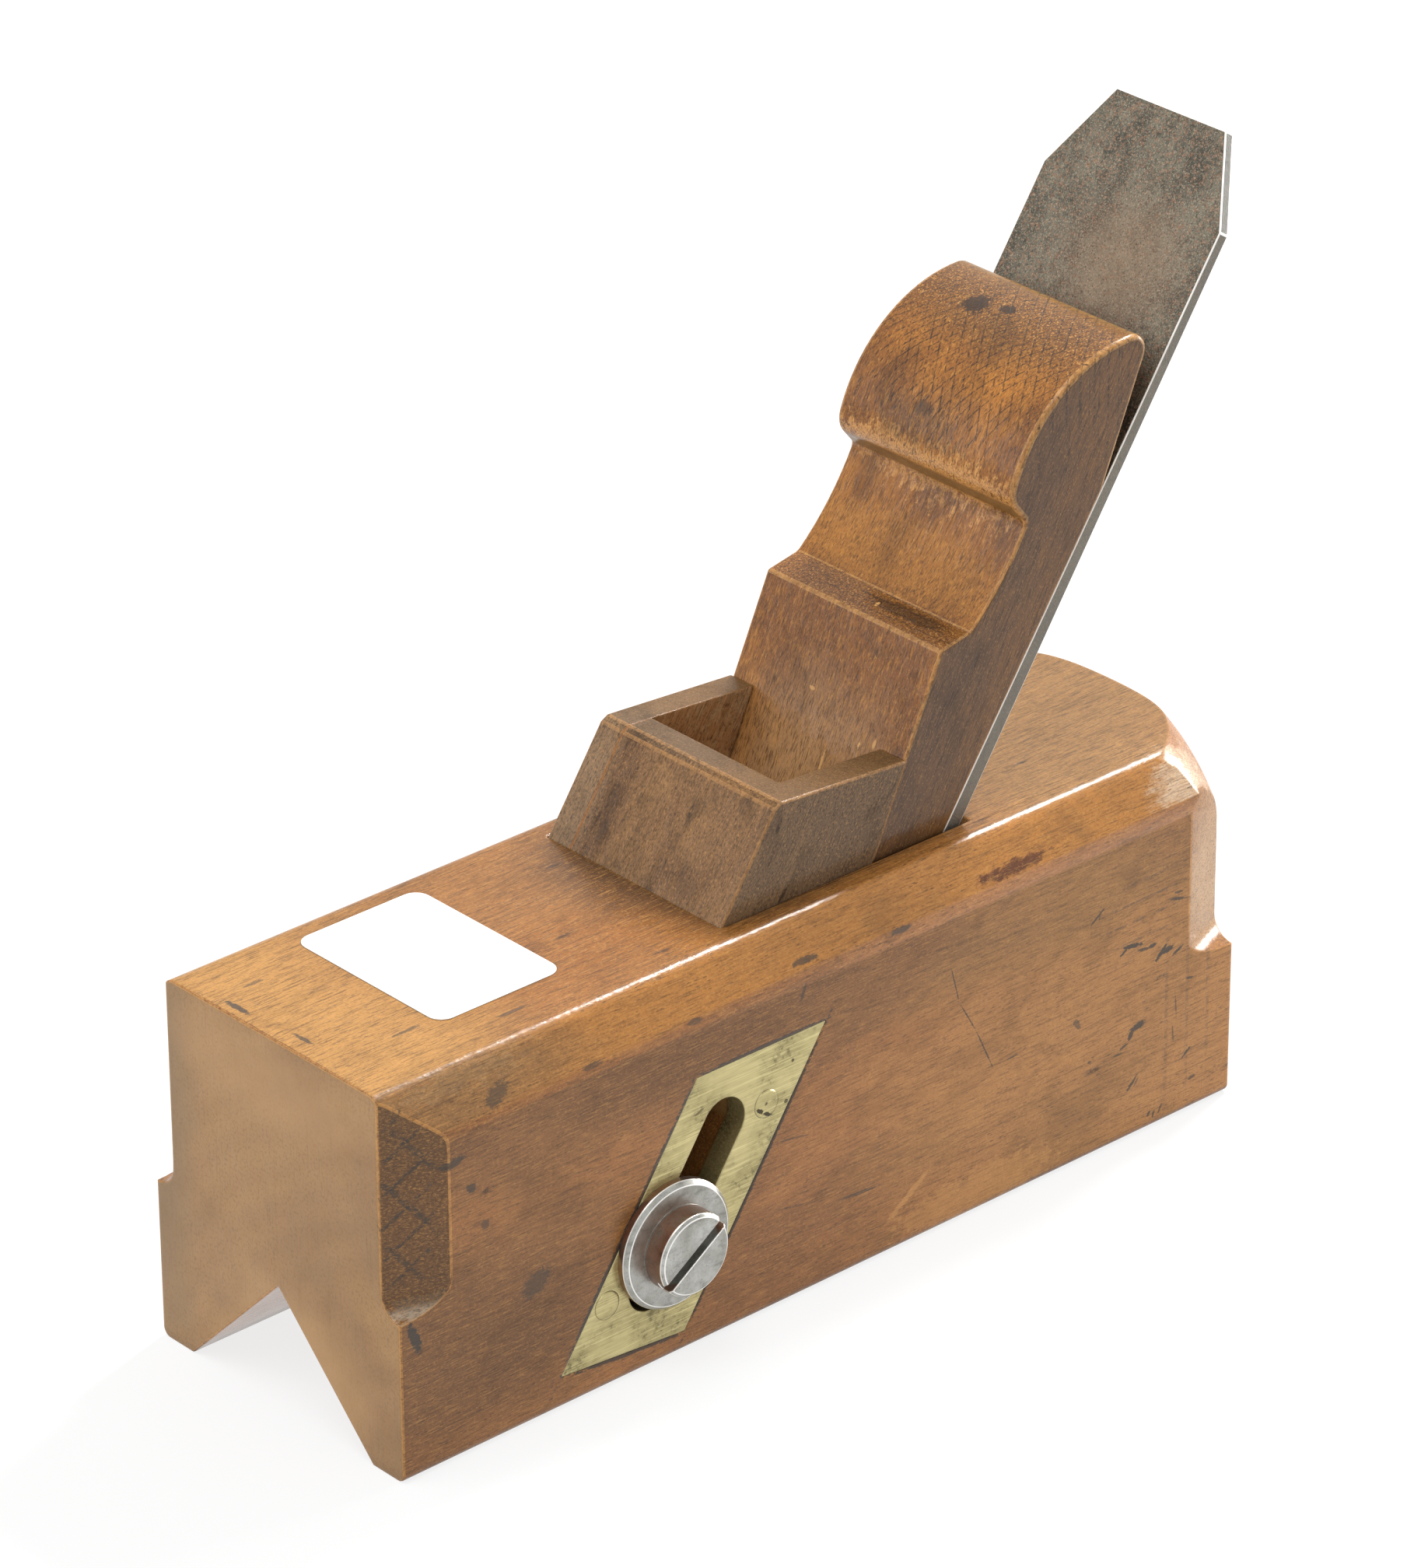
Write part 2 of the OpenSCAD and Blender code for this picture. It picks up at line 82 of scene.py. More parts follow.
def noises(tree, at, rows):
    # patterns whose grains are about as large in mm as size says; turn cuts another part of
    # the noise, so that no two patterns fall together
    usual = {"detail": 4.0, "rough": 0.65, "warp": 0.0, "turn": 0}
    made = {}
    for name, row in rows.items():
        row = dict(usual, **row)
        scaled = add(tree, "ShaderNodeMapping", {"Vector": at, "Scale": [1 / s for s in row["size"]],
                     "Rotation": (math.radians(row["turn"]), 0, 0)}, 0)
        made[name] = add(tree, "ShaderNodeTexNoise", {"Vector": scaled, "Scale": 1.0,
                         "Detail": row["detail"], "Roughness": row["rough"],
                         "Distortion": row["warp"]}, 0)
    return made


def part(tree, seen, pattern, start, full, least, most, *inside, ease="SMOOTHSTEP"):
    # how much a pattern shows: least at its start, most where it is full, inside other masks.
    # A mask that runs from 0 to 1 already is only scaled
    shown = add(tree, "ShaderNodeMapRange", {0: seen[pattern], 1: start, 2: full, 3: least,
                4: most}, 0, interpolation_type="LINEAR" if (start, full) == (0, 1) else ease)
    for name in inside:
        shown = add(tree, "ShaderNodeMath", {0: shown, 1: seen[name]}, 0, operation="MULTIPLY")
    return shown


def layers(tree, colour, look, seen, rows, ease="SMOOTHSTEP"):
    # tints laid one over another. A row has the tint, its pattern, where that starts and where
    # it is full, the share of the tint there, and the masks that it is kept inside. The share
    # may be the name of a value in the look
    for tint, pattern, start, full, share, *inside in rows:
        shown = part(tree, seen, pattern, start, full, 0.0, look.get(share, share), *inside,
                     ease=ease)
        colour = add(tree, "ShaderNodeMix", {0: shown, 6: colour, 7: linear(look[tint])}, 2,
                     data_type="RGBA")
    return colour


def stain(tree, point, ragged, centre, size, turn=0, depth=1.0, soft=0.35, torn=2.4):
    # a ragged patch: depth in its middle, 0 outside; half sizes in mm, turned about X
    far, border = 2.8, 0.9      # where the gradient and the patch end, in half sizes
    local = add(tree, "ShaderNodeMapping", {"Vector": point, "Location": centre,
                "Rotation": (math.radians(turn), 0, 0), "Scale": [far * s for s in size]}, 0,
                vector_type="TEXTURE")
    near = add(tree, "ShaderNodeTexGradient", {"Vector": local}, 1, gradient_type="SPHERICAL")
    uneven = add(tree, "ShaderNodeMath", {0: ragged, 1: -torn / far, 2: near}, 0,
                 operation="MULTIPLY_ADD")
    rim = border + torn / 2
    return add(tree, "ShaderNodeMapRange", {0: uneven, 1: 1 - (rim + soft / 2) / far,
               2: 1 - (rim - soft / 2) / far, 4: depth}, 0, interpolation_type="SMOOTHSTEP")


def stains(tree, point, ragged, spots):
    # all the spots in one mask
    total = stain(tree, point, ragged, *spots[0])
    for spot in spots[1:]:
        total = add(tree, "ShaderNodeMath", {0: total, 1: stain(tree, point, ragged, *spot)}, 0,
                    operation="MAXIMUM")
    return total


def zoned(tree, point, colour, seen, zones):
    # broad changes of colour: where the wood was handled or rubbed, and painted shade, light and
    # highlights
    for zone in zones:
        uneven = seen["ragged"] if "torn" in zone else seen["haze"]
        seen["zone"] = stain(tree, point, uneven, *zone["where"], soft=zone["soft"],
                             torn=zone.get("torn", 1.2))
        for axis, start, full in zone.get("facing", ()):
            seen["zone"] = part(tree, seen, axis, start, full, 0.0, 1.0, "zone")
        colour = layers(tree, colour, zone, seen, [("colour", "zone", 0, 1, 1.0)])
    return colour


oneWave = 0.314     # a wave texture of this scale has one line in each mm

# sizes in mm across, along and up the grain
woodNoises = {
    "patches": {"size": (24, 60, 24), "rough": 0.60, "warp": 0.6},
    "streaks": {"size": (0.9, 22.0, 0.9), "detail": 5.0, "rough": 0.70, "warp": 0.3},
    # beech pores are under 0.1 mm wide, so these three are drawn coarser, to show
    "fine": {"size": (0.2, 3.6, 0.2), "detail": 3.0, "rough": 0.62},
    "pores": {"size": (0.5, 0.7, 0.5), "detail": 3.0},
    "specks": {"size": (0.3, 0.5, 0.3), "detail": 2.0, "rough": 0.70},
    "ragged": {"size": (1.3, 2.2, 1.3), "detail": 5.0, "rough": 0.75},
    "splintered": {"size": (0.7, 1.5, 0.7), "detail": 5.0, "rough": 0.80, "warp": 0.6},
    "smudge": {"size": (9, 15, 9), "detail": 5.0, "rough": 0.62, "warp": 0.8},
    "haze": {"size": (26, 34, 20), "detail": 3.0, "rough": 0.50},
    "lumps": {"size": (1.8, 3.0, 1.8), "detail": 3.0, "rough": 0.55},
}
woodCells = {   # rays and scratches: one in each cell of this size in mm, tilted by so much
    "rays": {"cell": (0.55, 2.4, 0.55), "tilt": (0, 0, 0)},     # coarser than real, to show
    "scratches": {"cell": (6.0, 21.0, 6.0), "tilt": (0.02, 0.03, 0.02)},
}
# lines that the saw and the plane left across the ends
planeLines = {"planed": {"size": (0.4, 0.4, 14), "detail": 3.0, "rough": 0.60}}
# growth rings: mm from one to the next, and how unevenly they run
growth = {"gap": 5.5, "warp": 6.0, "detail": 3.0, "detailScale": 0.25, "rough": 0.6}
woodMasks = [   # name, pattern, where it starts, where it is full, least, most, kept inside
    ("endFace", "endwise", 0.80, 0.94, 0.0, 1.0),
    ("sideGrain", "endFace", 0, 1, 1.0, 0.0),
    ("faintOnEnds", "endFace", 0, 1, 1.0, 0.15),
    ("topFace", "up", 0.72, 0.97, 0.0, 1.0),
    ("hazy", "haze", 0.30, 0.60, 0.3, 1.0),
    ("gaps", "ragged", 0.40, 0.55, 0.0, 1.0),
    ("split", "splintered", 0.44, 0.54, 0.0, 1.0),
    ("chipped", "splintered", 0.30, 0.62, 0.0, 1.0),
    ("dashes", "rays", 0.22, 0.10, 0.0, 1.0, "sideGrain", "hazy"),
    ("scars", "scratches", 0.11, 0.04, 0.0, 1.0, "sideGrain", "gaps"),
    ("glossy", "X", 0.50, 0.90, "shine", "sideShine"),
    ("lined", "topFace", 0, 1, "fine", "topFine"),
    ("speckled", "endwise", 0.42, 0.70, "speck", 0.55),
]
# tint, pattern, where it starts, where it is full, share, kept inside
woodGround = [
    ("base", "patches", 0.35, 0.62, 1.0),
    ("top", "up", 0.72, 0.97, 0.7),
]
woodFigure = [
    ("dark", "streaks", 0.50, 0.76, 0.34),
    ("sheen", "glints", 0.48, 0.70, 1.0, "glossy"),
    ("dark", "fine", 0.48, 0.66, 1.0, "lined"),
    ("ray", "dashes", 0, 1, 0.55),
    ("ray", "specks", 0.52, 0.66, 1.0, "speckled"),
    ("worn", "specks", 0.44, 0.30, 1.0, "speckled"),
]
woodEnds = [
    ("endDark", "rings", 0, 1, 0.13),
    ("endDark", "pores", 0.46, 0.70, 0.5),
    ("endDark", "haze", 0.42, 0.66, 0.4),
    ("light", "planed", 0.50, 0.75, 0.35),
    ("endDark", "planed", 0.48, 0.25, 0.35),
]
woodAge = [
    ("dark", "smudge", 0.48, 0.70, "mottle", "faintOnEnds"),
    ("ray", "scars", 0, 1, 0.75),
]


def beech(look):
    # beech, planed and then oiled and handled for a century: warm, satin, with short dark rays
    material, tree = newMaterial(look["name"])
    point, normal = surfacePlaces(tree)
    laid = (-math.radians(look["pitch"]), 0, 0)
    grain = add(tree, "ShaderNodeMapping", {"Vector": point, "Rotation": laid}, 0)
    seen = noises(tree, grain, woodNoises)
    seen.update(noises(tree, point, planeLines))
    # glints are moved in the noise, so that they don't fall on the fine lines
    apart = add(tree, "ShaderNodeMapping", {"Vector": grain, "Location": (31, 17, 5)}, 0)
    seen.update(noises(tree, apart, {"glints": {"size": look["glint"], "detail": 3.0}}))
    for name, row in woodCells.items():
        cell = add(tree, "ShaderNodeMapping", {"Vector": grain, "Rotation": row["tilt"],
                   "Scale": [1 / s for s in row["cell"]]}, 0)
        seen[name] = add(tree, "ShaderNodeTexVoronoi", {"Vector": cell, "Scale": 1.0,
                         "Randomness": 1.0}, "Distance")
    pith = add(tree, "ShaderNodeMapping", {"Vector": grain, "Location": look["pith"]}, 0)
    seen["rings"] = add(tree, "ShaderNodeTexWave", {"Vector": pith,
                        "Scale": oneWave / growth["gap"], "Distortion": growth["warp"],
                        "Detail": growth["detail"], "Detail Scale": growth["detailScale"],
                        "Detail Roughness": growth["rough"]}, 1,
                        wave_type="RINGS", rings_direction="Y")

    # which way each face looks: along the grain, up, and without regard to sign on each axis
    turned = add(tree, "ShaderNodeMapping", {"Vector": normal, "Rotation": laid}, 0,
                 vector_type="VECTOR")
    endwise = add(tree, "ShaderNodeVectorMath", {0: turned}, 0, operation="ABSOLUTE")
    seen["endwise"] = add(tree, "ShaderNodeSeparateXYZ", {0: endwise}, "Y")
    seen["up"] = add(tree, "ShaderNodeSeparateXYZ", {0: normal}, "Z")
    unsigned = add(tree, "ShaderNodeVectorMath", {0: normal}, 0, operation="ABSOLUTE")
    sides = add(tree, "ShaderNodeSeparateXYZ", {0: unsigned})
    for axis in "XYZ":
        seen[axis] = sides.outputs[axis]
    for name, pattern, start, full, least, most, *inside in woodMasks:
        seen[name] = part(tree, seen, pattern, start, full, look.get(least, least),
                          look.get(most, most), *inside)

    colour = layers(tree, linear(look["light"]), look, seen, woodGround)
    colour = zoned(tree, point, colour, seen, look.get("zones", ()))
    colour = layers(tree, colour, look, seen, woodFigure)
    ends = layers(tree, linear(look["end"]), look, seen, woodEnds)
    ends = zoned(tree, point, ends, seen, look.get("endZones", ()))
    colour = add(tree, "ShaderNodeMix", {0: seen["endFace"], 6: colour, 7: ends}, 2,
                 data_type="RGBA")
    colour = layers(tree, colour, look, seen, woodAge)

    # arrises are painted paler, as worn wood and as painted highlight, and hollows and inside
    # corners are darkened by ambient occlusion, as dirt and as painted shade
    rounded = add(tree, "ShaderNodeBevel", {"Radius": look["edge"] * mm}, 0, samples=6)
    flat = add(tree, "ShaderNodeNewGeometry", None, "Normal")
    seen["bent"] = add(tree, "ShaderNodeVectorMath", {0: rounded, 1: flat}, "Value",
                       operation="DOT_PRODUCT")
    strip = add(tree, "ShaderNodeAttribute", None, "Fac", attribute_name="arris")
    seen["corner"] = add(tree, "ShaderNodeMath", {0: strip,
                         1: part(tree, seen, "bent", 0.99, 0.88, 0.0, 1.0)}, 0,
                         operation="MAXIMUM")
    seen["hollow"] = add(tree, "ShaderNodeAmbientOcclusion", {"Distance": 5 * mm}, "AO",
                         samples=8)
    rim = linear(look["worn"])
    if "tight" in look:
        seen["tight"] = stain(tree, point, seen["ragged"], *look["tight"], torn=0.4)
        rim = layers(tree, rim, look, seen, [("dirt", "tight", 0, 1, 1.0)])
    # arrises paler: wear, and painted highlight
    arris = part(tree, seen, "corner", 0, 1, 0.0, look["arris"], "chipped")
    colour = add(tree, "ShaderNodeMix", {0: arris, 6: colour, 7: rim}, 2, data_type="RGBA")
    # dirt and painted shade in hollows, from ambient occlusion
    colour = layers(tree, colour, look, seen, [("dirt", "hollow", 0.72, 0.30, "grimeAndShade")])

    cuts = add(tree, "ShaderNodeMath", {0: part(tree, seen, "dashes", 0, 1, 0.0, 0.5),
               1: seen["scars"]}, 0, operation="MAXIMUM")
    if "marks" in look:
        seen["marks"] = stains(tree, point, seen["splintered"], look["marks"])
        colour = layers(tree, colour, look, seen, [("dirt", "marks", 0.0, 0.8, 0.9)])
    if "pale" in look:
        seen["pale"] = stains(tree, point, seen["ragged"], look["pale"])
        colour = layers(tree, colour, look, seen, [("worn", "pale", 0, 1, 1.0)])
    for hatch in look.get("hatches", ()):
        # tool marks: thin parallel lines inside a patch
        seen["patch"] = stain(tree, point, seen["ragged"], *hatch["where"])
        across = add(tree, "ShaderNodeMapping", {"Vector": point,
                     "Rotation": [math.radians(a) for a in hatch["turn"]]}, 0)
        seen["lines"] = add(tree, "ShaderNodeTexWave", {"Vector": across,
                            "Scale": oneWave / hatch["gap"], "Distortion": 1.2, "Detail": 2.0,
                            "Detail Scale": 0.12}, 1, wave_type="BANDS", bands_direction="X")
        seen["drawn"] = part(tree, seen, "lines", 0.90, 0.99, 0.0, 1.0, "patch", "split")
        colour = layers(tree, colour, look, seen, [("dirt", "drawn", 0, 1, hatch["dark"])])
        cuts = add(tree, "ShaderNodeMath", {0: cuts,
                   1: part(tree, seen, "drawn", 0, 1, 0.0, 0.5)}, 0, operation="MAXIMUM")

    # streaks and fine grain stand up by these shares, and every cut goes down from them
    height = add(tree, "ShaderNodeMath", {0: seen["streaks"], 1: 0.35,
                 2: part(tree, seen, "fine", 0, 1, 0.0, 0.3)}, 0, operation="MULTIPLY_ADD")
    height = add(tree, "ShaderNodeMath", {0: height, 1: cuts}, 0, operation="SUBTRACT")
    dented = add(tree, "ShaderNodeBump", {"Height": seen["lumps"], "Strength": 0.4,
                 "Distance": 0.2 * mm, "Normal": rounded}, 0)
    relief = add(tree, "ShaderNodeBump", {"Height": height, "Strength": 0.45,
                 "Distance": 0.12 * mm, "Normal": dented}, 0)
    dull = part(tree, seen, "smudge", 0.35, 0.70, look["rough"], look["rough"] + 0.16)
    # the oil film mirrors fully where it is seen edge on
    seen["grazing"] = add(tree, "ShaderNodeLayerWeight", {"Blend": 0.5}, "Facing")
    film = part(tree, seen, "grazing", 0.75, 0.97, look["coat"], 1.0)
    surface = add(tree, "ShaderNodeBsdfPrincipled", {"Base Color": colour, "Roughness": dull,
                  "Normal": relief, "IOR": 1.5, "Specular IOR Level": 0.12, "Coat Weight": film,
                  "Coat Roughness": 0.17, "Coat Normal": dented}, 0)
    add(tree, "ShaderNodeOutputMaterial", {0: surface})
    return material


def neighbours(mesh):
    # the faces that meet at each corner
    touching = {}
    for face in mesh.polygons:
        for corner in face.vertices:
            touching.setdefault(corner, []).append(face)
    return touching


def markArrises(mesh):
    # the bevel's strips have the second material slot; those of outward corners are marked
    touching = neighbours(mesh)
    worn = []
    for face in mesh.polygons:
        lean = 0.0
        for corner in face.vertices:
            for other in touching[corner]:
                lean += (other.center - face.center).dot(face.normal)
        worn.append(1.0 if face.material_index == 1 and lean < 0 else 0.0)
    mesh.attributes.new("arris", "FLOAT", "FACE").data.foreach_set("value", worn)
    mesh.polygons.foreach_set("material_index", [0] * len(worn))
    mesh.materials.pop(index=1)


def evenShade(mesh, limit):
    # each corner is shaded by the large faces that lie within the limit of its own face
    touching = neighbours(mesh)
    closest = math.cos(math.radians(limit))
    normals = []
    for face in mesh.polygons:
        for corner in face.vertices:
            total = Vector((0, 0, 0))
            for other in touching[corner]:
                if other.normal.dot(face.normal) > closest:
                    total += other.normal * other.area
            normals.append(total.normalized() if total.length else face.normal)
    mesh.normals_split_custom_set(normals)


# merge is in mm, and flat, sharp and smooth are angles between faces in degrees
breaking = {"merge": 0.002, "flat": 0.6, "sharp": 18, "smooth": 35, "steps": 3}


def broken(node, material, width, rule=None):
    # the node's own shape with its arrises broken, to this width in mm or to what the rule
    # gives for the middle of an edge
    mesh = bpy.data.meshes.new(node + "_worn")
    work = bmesh.new()
    work.from_mesh(frame["nodes"][node].data)
    bmesh.ops.remove_doubles(work, verts=work.verts, dist=breaking["merge"] * mm)
    bmesh.ops.dissolve_limit(work, angle_limit=math.radians(breaking["flat"]), verts=work.verts,
                             edges=work.edges)
    weights = work.edges.layers.float.new("bevel_weight_edge")
    for edge in work.edges:
        edge.smooth = True
        angle = edge.calc_face_angle(0.0) if len(edge.link_faces) == 2 else 0.0
        if angle < math.radians(breaking["sharp"]):
            continue
        middle = (edge.verts[0].co + edge.verts[1].co) / 2 / mm
        wanted = min(rule(middle), width) if rule else width
        if wanted > 0:
            edge[weights] = wanted / width
        else:
            edge.smooth = False
    for face in work.faces:
        face.smooth = True
    work.to_mesh(mesh)
    work.free()
    mesh.materials.append(material)
    mesh.materials.append(material)     # the bevel marks its strips with this second slot
    piece = bpy.data.objects.new(node + "_worn", mesh)
    bpy.context.scene.collection.objects.link(piece)
    bevel = piece.modifiers.new("arris", "BEVEL")
    bevel.limit_method = "WEIGHT"
    bevel.width = width * mm
    bevel.segments = breaking["steps"]
    bevel.use_clamp_overlap = False
    bevel.miter_outer = "MITER_ARC"
    bevel.material = 1
    cut = bpy.data.meshes.new_from_object(
        piece.evaluated_get(bpy.context.evaluated_depsgraph_get()))
    piece.modifiers.clear()
    piece.data = cut
    cut.name = mesh.name + "_cut"
    markArrises(cut)
    evenShade(cut, breaking["smooth"])
    body = next(b for b, nodes in frame["record"]["behaviour"]["bodies"].items() if node in nodes)
    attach(piece, body)
    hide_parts(node)


def reach(node):
    # the least and the greatest place of a node on each axis, in mm
    places = [vertex.co / mm for vertex in frame["nodes"][node].data.vertices]
    return [[pick(place[axis] for place in places) for axis in range(3)] for pick in (min, max)]


def onSide(rows):
    # marks on the right side: y, z, half length, half width, lean and depth
    return [((side, y, z), (2.0, long, thin), lean, depth) for y, z, long, thin, lean, depth in rows]


def stroke(points, thin, depth):
    # one long mark on the right side, drawn through these y and z
    rows = []
    for (y0, z0), (y1, z1) in zip(points, points[1:]):
        rows.append(((y0 + y1) / 2, (z0 + z1) / 2, math.hypot(y1 - y0, z1 - z0) / 2, thin,
                     math.degrees(math.atan2(z1 - z0, y1 - y0)), depth))
    return onSide(rows)


